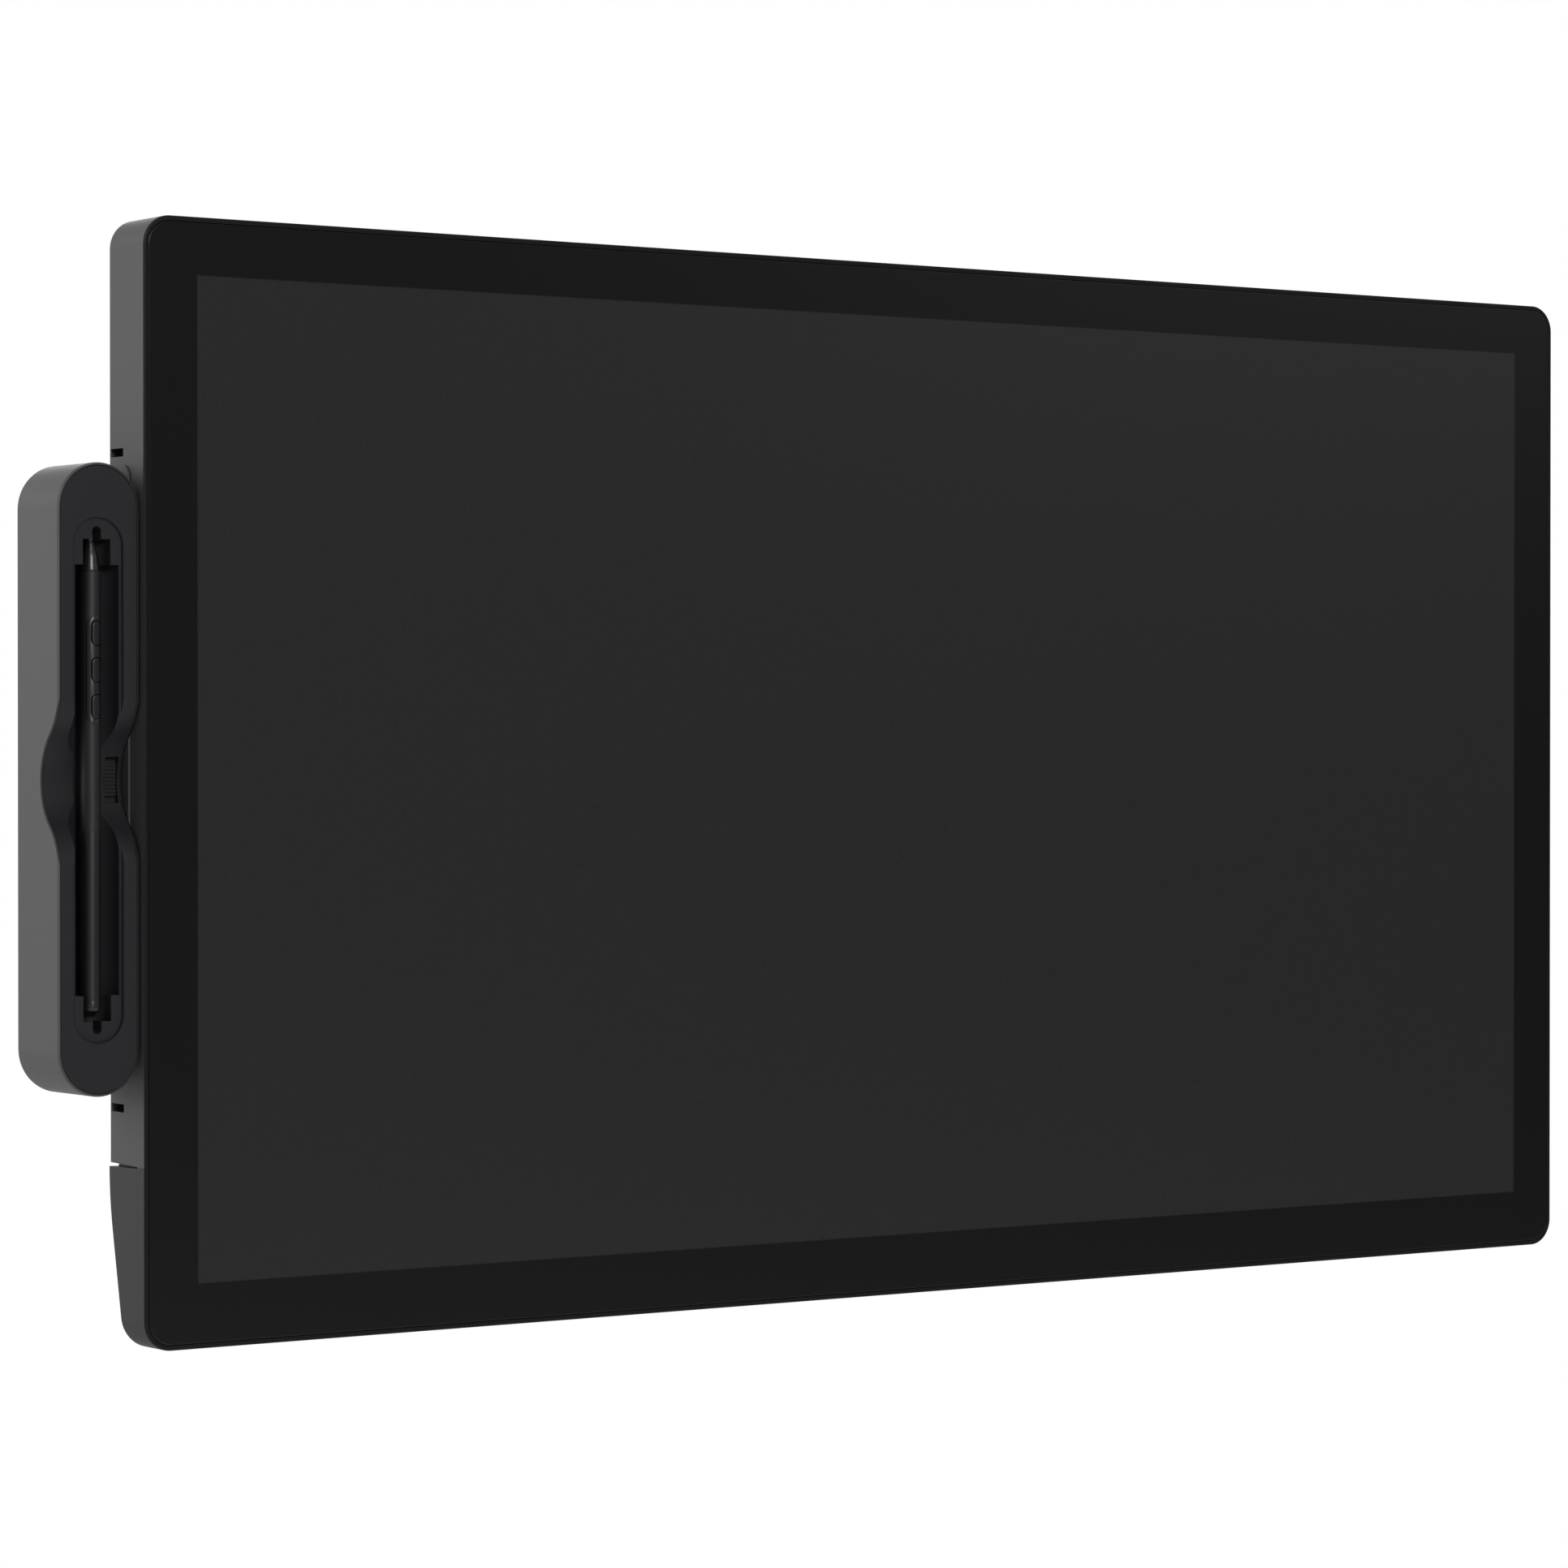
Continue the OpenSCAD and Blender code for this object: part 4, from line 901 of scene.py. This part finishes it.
@dataclass
class Screen:
    """Cover glass, front frame and the layers behind them."""

    body: Vec = (637.0, 377.0, 10.0)
    lip: float = 1.7
    gap: float = 0.15
    glass_depth: float = 1.8
    frame_depth: float = 5.0
    ledge: float = 11.4
    seam: Span = (-127.7, -127.3)
    border_tone: Colour = srgb(6, 6, 8)
    picture_tone: Colour = srgb(40, 40, 40)
    picture: Span = (596.7, 335.7)
    picture_rise: float = 1.2

    def glass(self) -> None:
        """Cover glass with a ground edge."""
        inset = self.lip + self.gap
        size = (self.body[0] - 2 * inset, self.body[1] - 2 * inset, self.body[2] - inset)
        section = [(0.6, self.glass_depth), (0.0, self.glass_depth), (0.0, 0.18), (0.03, 0.09), (0.09, 0.03),
                   (0.18, 0.0), (0.6, 0.0)]
        finish = EtchedGlass("etched_glass", self.border_tone, self.picture_tone, self.picture, self.picture_rise)
        obj = softened(framed("cover_glass_finished", size, section), crease=SOFT_CREASE)
        dress(obj, finish, "display", "cover_glass")

    def front_frame(self) -> None:
        """Black ring around the glass with a rounded outer edge and a painted side."""
        back, lip = self.frame_depth, self.lip
        section = [(0.0, back), (0.0, 0.45), (0.06, 0.26), (0.22, 0.08), (0.42, 0.0), (0.7, 0.0),
                   (lip - 0.2, 0.0), (lip - 0.06, 0.03), (lip, 0.14), (lip, self.glass_depth),
                   (self.ledge, self.glass_depth), (self.ledge, back)]
        obj = framed("front_frame_finished", self.body, section, True)
        side = 2 * len(obj.data.polygons) // len(section)
        for face in obj.data.polygons[:side]:
            face.material_index = 1
        self.paint_side(obj.data)
        finishes = [Palette.FRAME, Palette.REAR, Palette.LOWER]
        dress(softened(obj), finishes, "display", "front_frame")

    def paint_side(self, mesh: bpy.types.Mesh) -> None:
        """Carry the covers' seam and the lower cover's colour on across the frame's painted side.

        Args:
            mesh: The frame, with its painted side as material 1.
        """
        with editing(mesh) as work:
            for height in self.seam:
                pieces = [*work.verts, *work.edges, *work.faces]
                bmesh.ops.bisect_plane(work, geom=pieces, plane_co=(0.0, 0.0, height * MM), plane_no=(0.0, 0.0, 1.0))
            for face in work.faces:
                height = face.calc_center_median().z / MM
                if face.material_index and height < self.seam[1]:
                    face.material_index = 2 if height < self.seam[0] else 0

    def build(self) -> None:
        """Make the front and dress what lies behind it."""
        self.glass()
        self.front_frame()
        carry("touch_sensor", Palette.PANEL)
        carry("lcd_panel", Palette.PANEL)
        carry("backlight_unit", Palette.BACKLIGHT)
        carry("pen_sensor_board", Palette.BOARD)


@dataclass
class Screw:
    """Pan head screw with a six-lobed recess, along Y with its head at the back."""

    length: float
    head: float = 2.8
    head_height: float = 1.2
    shank: float = 1.25
    lobes: int = 6
    lobe_share: float = 0.14
    around: int = 36

    def rings(self) -> list[Vec]:
        """Radius, share of lobes and height of each ring from the recess floor to the shank's end."""
        recess = self.head * 0.5
        top = self.head_height
        return [(recess * 0.4, 0.0, top * 0.3), (recess * 0.95, 1.0, top * 0.3), (recess, 1.0, top),
                (self.head * 0.72, 0.0, top), (self.head * 0.9, 0.0, top * 0.93), (self.head * 0.98, 0.0, top * 0.75),
                (self.head, 0.0, top * 0.5), (self.head, 0.0, 0.0), (self.shank, 0.0, 0.0),
                (self.shank, 0.0, -self.length + 0.3), (self.shank * 0.7, 0.0, -self.length)]

    def template(self) -> bpy.types.Object:
        """Mesh of one screw with its seat at the origin."""
        points: list[Vec] = []
        rings = self.rings()
        for radius, lobed, height in rings:
            for index in range(self.around):
                turn = math.tau * index / self.around
                reach = radius * (1.0 + self.lobe_share * lobed * math.cos(self.lobes * turn))
                points.append((reach * math.cos(turn) * MM, height * MM, reach * math.sin(turn) * MM))
        return from_points("screw_template", points, strip_faces(len(rings), self.around))

    def drive(self, node: str, seats: list[Vec], finish: Finish) -> None:
        """Put copies of the screw on their seats.

        Args:
            node: Solid that they stand for.
            seats: Where the heads sit, in metres.
            finish: Finish of the screws.
        """
        template = self.template()
        obj = FastenerSet().grow(f"{node}_finished", seats, finish, {"Fastener": template})
        bpy.data.objects.remove(template)
        dress(obj, finish, body_of(node), node)


@dataclass
class Case:
    """Rear cover, lower cover, chassis and the screws that hold them."""

    side_depth: float = 24.8
    frame_joint: Span = (4.9, 5.1)
    joint_share: float = 0.15
    cover_seats: tuple[Span, ...] = ((-232.0, 160.0), (0.0, 160.0), (232.0, 160.0), (-232.0, -112.0), (232.0, -112.0))
    lower_seats: tuple[Span, ...] = ((-270.0, -140.0), (-90.0, -140.0), (90.0, -140.0), (270.0, -140.0))
    lower_head_depth: float = 22.77
    chassis_face: float = 6.5
    chassis_seats: tuple[float, ...] = (-250.0, -125.0, 0.0, 125.0, 250.0)

    def screws(self) -> None:
        """Cover screws sunk in their recesses and chassis screws on the flange."""
        cover = Screw(7.0)
        seats = [at(x, self.side_depth - cover.head_height, z) for x, z in self.cover_seats]
        seats += [at(x, self.lower_head_depth, z) for x, z in self.lower_seats]
        cover.drive("cover_screws", seats, Palette.BLACK_STEEL)
        chassis = Screw(3.3)
        _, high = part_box("chassis_screws")
        height = high.z / MM - chassis.head
        seats = [at(x, self.chassis_face, z) for x in self.chassis_seats for z in (height, -height)]
        chassis.drive("chassis_screws", seats, Palette.STEEL)

    def build(self) -> None:
        """Finish the covers, the chassis and the screws."""
        refine("rear_cover", Palette.REAR, 0.15, within(*self.frame_joint, self.joint_share))
        refine("lower_cover", Palette.LOWER, 0.08)
        carry("chassis_plate", Palette.SHEET)
        self.screws()


@dataclass
class Mount:
    """Mounting pad on the back with its four threaded holes."""

    edge: float = 0.3

    def build(self) -> None:
        """Finish the pad."""
        refine("vesa_bracket", Palette.MOUNT, self.edge)


@dataclass
class Electronics:
    """Boards, their screws and the power button."""

    board_face: float = 18.6
    main_half: float = 84.0
    main_rows: Span = (-74.7, -36.0)
    small_middle: Span = (157.0, -48.0)
    small_half: Span = (40.0, 20.0)

    def build(self) -> None:
        """Dress the boards and drive their screws."""
        for node in ("main_board", "backlight_board", "pen_controller_board", "power_button_board",
                     "left_key_board", "right_key_board"):
            carry(node, Palette.BOARD)
        ends = (-1, 1)
        seats = [at(end * self.main_half, self.board_face, z) for end in ends for z in self.main_rows]
        (middle_x, middle_z), (half_x, half_z) = self.small_middle, self.small_half
        seats += [at(side.value * middle_x + across * half_x, self.board_face, middle_z + up * half_z)
                  for side in Side for across in ends for up in ends]
        Screw(3.8).drive("board_screws", seats, Palette.STEEL)
        refine("power_button", Palette.DARK, 0.3)


@dataclass(frozen=True)
class SocketSize:
    """Solid, outline, tongue, contacts and places across of one kind of socket."""

    node: str
    width: float
    height: float
    radius: float
    tongue: float
    contacts: int
    places: tuple[float, ...]


class SocketKind(Enum):
    """Kinds of socket in the port bay, by their look."""

    SLIM = SocketSize("usb_c_sockets", 9.2, 3.4, 1.5, 0.7, 8, (-60.0, -42.0))
    BROAD = SocketSize("hdmi_socket", 15.2, 5.8, 0.7, 1.0, 10, (-16.0,))
    LONG = SocketSize("displayport_socket", 16.2, 5.0, 0.7, 1.0, 10, (12.0,))
    TALL = SocketSize("usb_a_sockets", 13.2, 5.9, 0.5, 1.8, 4, (38.0, 58.0))


@dataclass
class PortBay:
    """Recess on the back with the sockets in its ceiling."""

    ceiling: float = -83.7
    board_top: float = 18.6
    length: float = 12.0
    shell: float = 0.5
    tongue_margin: float = 4.0
    contact_margin: float = 5.0
    contact_rise: float = 5.0
    contact_proud: float = 0.02
    contact_share: float = 0.55

    def socket(self, size: SocketSize, contacts: SlatRow) -> None:
        """Metal shells of one kind with their tongues and contacts.

        Args:
            size: Sizes of the kind of socket.
            contacts: Tree that makes the rows of contacts.
        """
        middle = self.board_top + size.height / 2
        foot, top, wall = self.ceiling, self.ceiling + self.length, self.shell
        step = (size.width - self.contact_margin) / size.contacts
        rows = [at(x, middle + side * (size.tongue / 2 + self.contact_proud), foot + self.contact_rise)
                for x in size.places for side in (-1, 1)]
        obj = contacts.grow(f"{size.node}_finished", rows, Palette.CONTACT, {
            "Count": size.contacts, "Step": step, "Width": step * self.contact_share, "Depth": 0.12, "Length": 5.0,
            "Rounding": 0.03})
        outline = (size.width, size.height, size.radius)
        skin = [(0.0, top), (0.0, foot + 0.1), (0.12, foot), (wall - 0.15, foot), (wall, foot + 0.15),
                (wall, top - 1.0)]
        tongue = (size.width - self.tongue_margin, size.tongue, size.tongue * 0.3)
        blade = [(0.15, foot + 2.5), (0.0, foot + 2.8), (0.0, top - 1.2)]
        for x in size.places:
            def downward(across: float, along: float, up: float, centre: float = x) -> Vec:
                """Place of a point of a socket that faces down."""
                return at(centre + across, middle + up, along)

            merge(obj, framed("shell", outline, skin, place=downward), 1)
            merge(obj, framed("tongue", tongue, blade, place=downward), 2)
        dress(obj, [Palette.CONTACT, Palette.SOCKET, Palette.TONGUE], "display", size.node)

    def build(self) -> None:
        """Finish the bay and its sockets."""
        refine("port_bay", Palette.DARK, 0.2)
        contacts = SlatRow()
        for kind in SocketKind:
            self.socket(kind.value, contacts)


@dataclass
class Cooling:
    """Fans, heat sinks and grilles."""

    fan_x: float = 135.0
    fan_z: float = 20.0
    blade_count: int = 17
    blade_share: float = 0.9
    roof: float = 28.4
    face: float = 30.2
    intake: Span = (56.0, 56.0)
    exhaust: Span = (60.0, 12.0)
    exhaust_z: float = 94.0
    slat_step: float = 4.6
    slat_ends: Span = (0.9, 0.15)
    window_margin: float = 5.0
    sink: Vec = (60.0, 30.0, 1.0)
    sink_z: float = 67.0
    sink_rise: float = 6.2
    chassis: float = 14.0

    def places(self, depth: float, z: float) -> list[Vec]:
        """The same place on the left and the right side."""
        return [at(side.value * self.fan_x, depth, z) for side in Side]

    def surround(self, target: bpy.types.Object, z: float, size: Vec, section: Section, closed: bool) -> None:
        """Add a swept section to a piece on each side.

        Args:
            target: Piece that it is added to.
            z: Height of its middle.
            size: Width, height and corner radius.
            section: Points as distance in from the outline and depth.
            closed: Whether the section closes on itself.
        """
        for side in Side:
            extra = framed("surround", size, section, closed)
            extra.data.transform(Matrix.Translation((side.value * self.fan_x * MM, 0.0, z * MM)))
            merge(target, extra)

    def grille(self, node: str, z: float, window: Span, slats: SlatRow) -> None:
        """Slotted grille on each side.

        Args:
            node: Solid that it stands for.
            z: Height of its middle.
            window: Width and height of its window.
            slats: Tree that makes the bars.
        """
        width, height = window
        roof, face = self.roof, self.face
        foot, top = roof - self.slat_ends[0], face - self.slat_ends[1]
        obj = slats.grow(f"{node}_finished", self.places((foot + top) / 2, z), Palette.DARK, {
            "Count": int((width - self.window_margin) / self.slat_step) + 1, "Step": self.slat_step, "Width": 2.2,
            "Depth": top - foot, "Length": height - 2.0, "Rounding": 0.5})
        rim = [(0.0, roof), (0.0, face - 0.2), (0.2, face), (1.4, face), (1.6, face - 0.2), (1.6, roof - 1.0),
               (-1.7, roof - 1.0), (-1.7, roof)]
        self.surround(obj, z, (width - 0.4, height - 0.4, 1.2), rim, True)
        dress(obj, Palette.DARK, "display", node)

    def rotor(self, side: Side) -> None:
        """Fan rotor with swept blades on a ribbed hub.

        Args:
            side: Side of the display.
        """
        node = f"{side.word}_fan_rotor"
        low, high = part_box(node)
        x, _, z = at(side.value * self.fan_x, 0.0, self.fan_z)
        depth = (high.y - low.y) / MM
        blades = BladeRing().grow(f"{node}_finished", [(x, (low.y + high.y) / 2, z)], Palette.DARK, {
            "Count": self.blade_count, "Hub": 10.6, "Tip": 23.3, "Sweep": 4.6, "Depth": depth * self.blade_share,
            "Thickness": 0.8})
        section = [(1.6, 0.0), (10.2, 0.0), (10.9, 0.4), (11.0, 1.0), (11.0, depth - 1.2), (10.4, depth - 0.4),
                   (9.6, depth), (4.0, depth), (3.6, depth - 0.4), (1.6, depth - 0.4)]
        merge(blades, lathe("hub", section, (x, low.y, z)))
        dress(blades, Palette.DARK, body_of(node), node)

    def heat_sinks(self, slats: SlatRow) -> None:
        """Finned heat sink on each side.

        Args:
            slats: Tree that makes the fins.
        """
        seats = self.places(self.chassis + self.sink_rise, self.sink_z)
        fins = slats.grow("heat_sinks_finished", seats, Palette.FIN, {
            "Count": 15, "Step": 4.0, "Width": 1.0, "Depth": 9.6, "Length": 30.0, "Rounding": 0.2})
        foot = self.chassis
        base = [(2.0, foot), (0.2, foot), (0.0, foot + 0.2), (0.0, foot + 1.3), (0.2, foot + 1.5), (2.0, foot + 1.5)]
        self.surround(fins, self.sink_z, self.sink, base, False)
        dress(fins, Palette.FIN, "display", "heat_sinks")

    def build(self) -> None:
        """Finish the grilles, rotors, housings and heat sinks."""
        slats = SlatRow()
        self.grille("intake_grilles", self.fan_z, self.intake, slats)
        self.grille("exhaust_grilles", self.exhaust_z, self.exhaust, slats)
        for side in Side:
            self.rotor(side)
            refine(f"{side.word}_fan_housing", Palette.DARK, 0.3)
        self.heat_sinks(slats)


@dataclass
class Grip:
    """Rubber grip on the back with four keys."""

    side: Side
    keys: int = 4

    def build(self) -> None:
        """Finish the grip and its keys."""
        refine(f"{self.side.word}_grip", Palette.GRIP, 0.3)
        for number in range(1, self.keys + 1):
            refine(f"{self.side.word}_key_{number}", Palette.DARK, 0.25)


@dataclass
class PenTray:
    """Pen tray: painted shell, dark insert, latch, bracket and the spare nibs."""

    middle: Span = (-334.3, 1.4)
    shell: float = 30.0
    insert: Span = (28.1, 207.1)
    inner_rounding: float = 0.33
    front: float = 1.5
    rim_band: Span = (0.0, 3.0)
    rim_share: float = 0.2
    rim_depth: float = 0.62
    rim_turn: Span = (58.0, 30.0)
    rim_closeness: float = 0.6
    dip_depth: float = 12.8
    dip_half: float = 31.0
    dip_edge: float = 0.3
    dip_z: float = 1.0
    closeness: float = 0.1

    def dip_normal(self, point: Vector) -> Vector | None:
        """Outward normal of the dip, a valley arc between two shoulder arcs.

        Args:
            point: Place in metres.

        Returns:
            The normal, or None away from the dip.
        """
        depth, up = point.y / MM + MOUNT_DEPTH, point.z / MM - self.dip_z
        rise = self.dip_depth + self.dip_edge
        radius = self.dip_half / (2.0 * math.sin(2.0 * math.atan(rise / self.dip_half)))
        if abs(up) <= self.dip_half / 2:
            out = Vector((0.0, self.front + self.dip_depth - radius - depth, -up))
        else:
            out = Vector((0.0, depth - (self.front - self.dip_edge + radius), up - math.copysign(self.dip_half, up)))
        if abs(up) > self.dip_half or abs(out.length - radius) > self.closeness:
            return None
        return Vector(FORWARD) if depth < self.front + 0.02 else out.normalized()

    def outward(self, x: float, z: float) -> Vector:
        """Way from the tray's middle line to a place.

        Args:
            x: Place across.
            z: Height.

        Returns:
            The way.
        """
        spine = (self.insert[1] - self.insert[0]) / 2
        up = z - self.middle[1]
        return Vector((x - self.middle[0], 0.0, up - max(min(up, spine), -spine)))

    def insert_share(self, x: float, _depth: float, z: float) -> float:
        """Share of the rounding of the insert's edges: full on its outline, a third inside it."""
        return 1.0 if self.outward(x, z).length > self.insert[0] / 2 - self.closeness else self.inner_rounding

    def rim_normal(self, point: Vector) -> Vector | None:
        """Outward normal of the shell's front rim, flat or in the dip."""
        flat = point.y / MM + MOUNT_DEPTH < self.front + self.rim_depth
        return Vector(FORWARD) if flat else self.dip_normal(point)

    def rim_lean(self, point: Vector, normal: Vector) -> Vector:
        """Normal of the shell's rim, which rounds over from the insert to the side.

        Args:
            point: Place in metres.
            normal: Normal of the rim without its rounding.

        Returns:
            The turned normal.
        """
        way = self.outward(point.x / MM, point.z / MM)
        inner = self.insert[0] / 2
        share = max(0.0, min(1.0, (way.length - inner) / (self.shell / 2 - inner)))
        turn = math.radians(self.rim_turn[0] + self.rim_turn[1] * share)
        return normal * math.cos(turn) + way.normalized() * math.sin(turn)

    def build(self) -> None:
        """Finish every piece of the tray."""
        shell = refine("tray_shell", Palette.SHELL, 0.1, within(*self.rim_band, self.rim_share))
        follow(shell, self.rim_normal, self.rim_closeness, self.rim_lean)
        follow(refine("tray_insert", Palette.INSERT, 0.3, self.insert_share), self.dip_normal)
        refine("tray_bracket", Palette.BRACKET, 0.08)
        refine("tray_latch", Palette.INSERT, 0.1)
        refine("nib_block", Palette.NIB_BLOCK, 0.1)
        carry("spare_nibs", Palette.NIB)
        carry("tray_bracket_screws", Palette.STEEL)


@dataclass
class Pen:
    """Pen with a switch of three buttons."""

    axis_x: float = -334.3
    axis_depth: float = 7.7
    roll: float = 12.0
    buttons: int = 3
    button: Span = (3.7, 8.0)
    button_foot: float = 2.75
    button_top: float = 3.7
    button_rounding: float = 0.4
    button_step: float = 12.1
    button_end_steps: int = 12
    switch_z: float = 37.6

    def on_pen(self, across: float, radius: float, z: float) -> Vec:
        """Place of a point of the pen's skin.

        Args:
            across: Distance across from the middle of the switch.
            radius: Distance from the pen's axis.
            z: Height.

        Returns:
            The point in metres.
        """
        out = Vector((across, -math.sqrt(radius * radius - across * across), 0.0))
        out.rotate(Matrix.Rotation(math.radians(self.roll), 3, "Z"))
        return at(self.axis_x + out.x, self.axis_depth + out.y, z)

    def switch_button(self, number: int) -> None:
        """Long button with a rounded rim that follows the pen's skin.

        Args:
            number: Number of the button from the tip.
        """
        width, height = self.button
        middle = self.switch_z + ((self.buttons + 1) // 2 - number) * self.button_step
        top, rounding, steps = self.button_top, self.button_rounding, self.button_end_steps
        section = [(0.0, self.button_foot), (0.0, top - rounding)]
        section += [(rounding * (1 - math.cos(turn)), top - rounding * (1 - math.sin(turn)))
                    for turn in (math.radians(part) for part in (22.5, 45.0, 67.5, 90.0))]
        section += [(inset, top) for inset in (0.8, 1.2, 1.6, width / 2 - 0.03)]
        points: list[Vec] = []
        for inset, radius in section:
            half = width / 2 - inset
            for end in (1, -1):
                for step in range(steps + 1):
                    turn = math.radians(180.0 * step / steps)
                    points.append(self.on_pen(end * half * math.cos(turn), radius,
                                              middle + end * ((height - width) / 2 + half * math.sin(turn))))
        name = f"pen_button_{number}"
        obj = from_points(f"{name}_finished", points, strip_faces(len(section), 2 * steps + 2))
        dress(softened(obj, crease=SOFT_CREASE), Palette.PEN_BUTTON, name, name)

    def build(self) -> None:
        """Finish every piece of the pen."""
        refine("pen_grip", Palette.PEN_GRIP, 0.05)
        refine("pen_barrel", Palette.PEN_BODY, 0.1)
        refine("pen_end_cap", Palette.PEN_BODY, 0.15)
        refine("pen_cone", Palette.PEN_BODY, 0.15)
        carry("pen_core", Palette.DARK)
        refine("pen_switch_bezel", Palette.PEN_BODY, 0.03)
        for number in range(1, self.buttons + 1):
            self.switch_button(number)
        refine("pen_nib", Palette.NIB, 0.1)


def main() -> None:
    """Build the part piece by piece, logging each assembly and piece."""
    logging.basicConfig(level=logging.INFO, format="%(name)s %(message)s")
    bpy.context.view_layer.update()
    Studio().build()
    for assembly in (Screen(), Case(), Mount(), Electronics(), PortBay(), Cooling(), Grip(Side.LEFT),
                     Grip(Side.RIGHT), PenTray(), Pen()):
        LOG.info("assembly: %s", type(assembly).__name__)
        assembly.build()


if __name__ == "__main__":
    main()
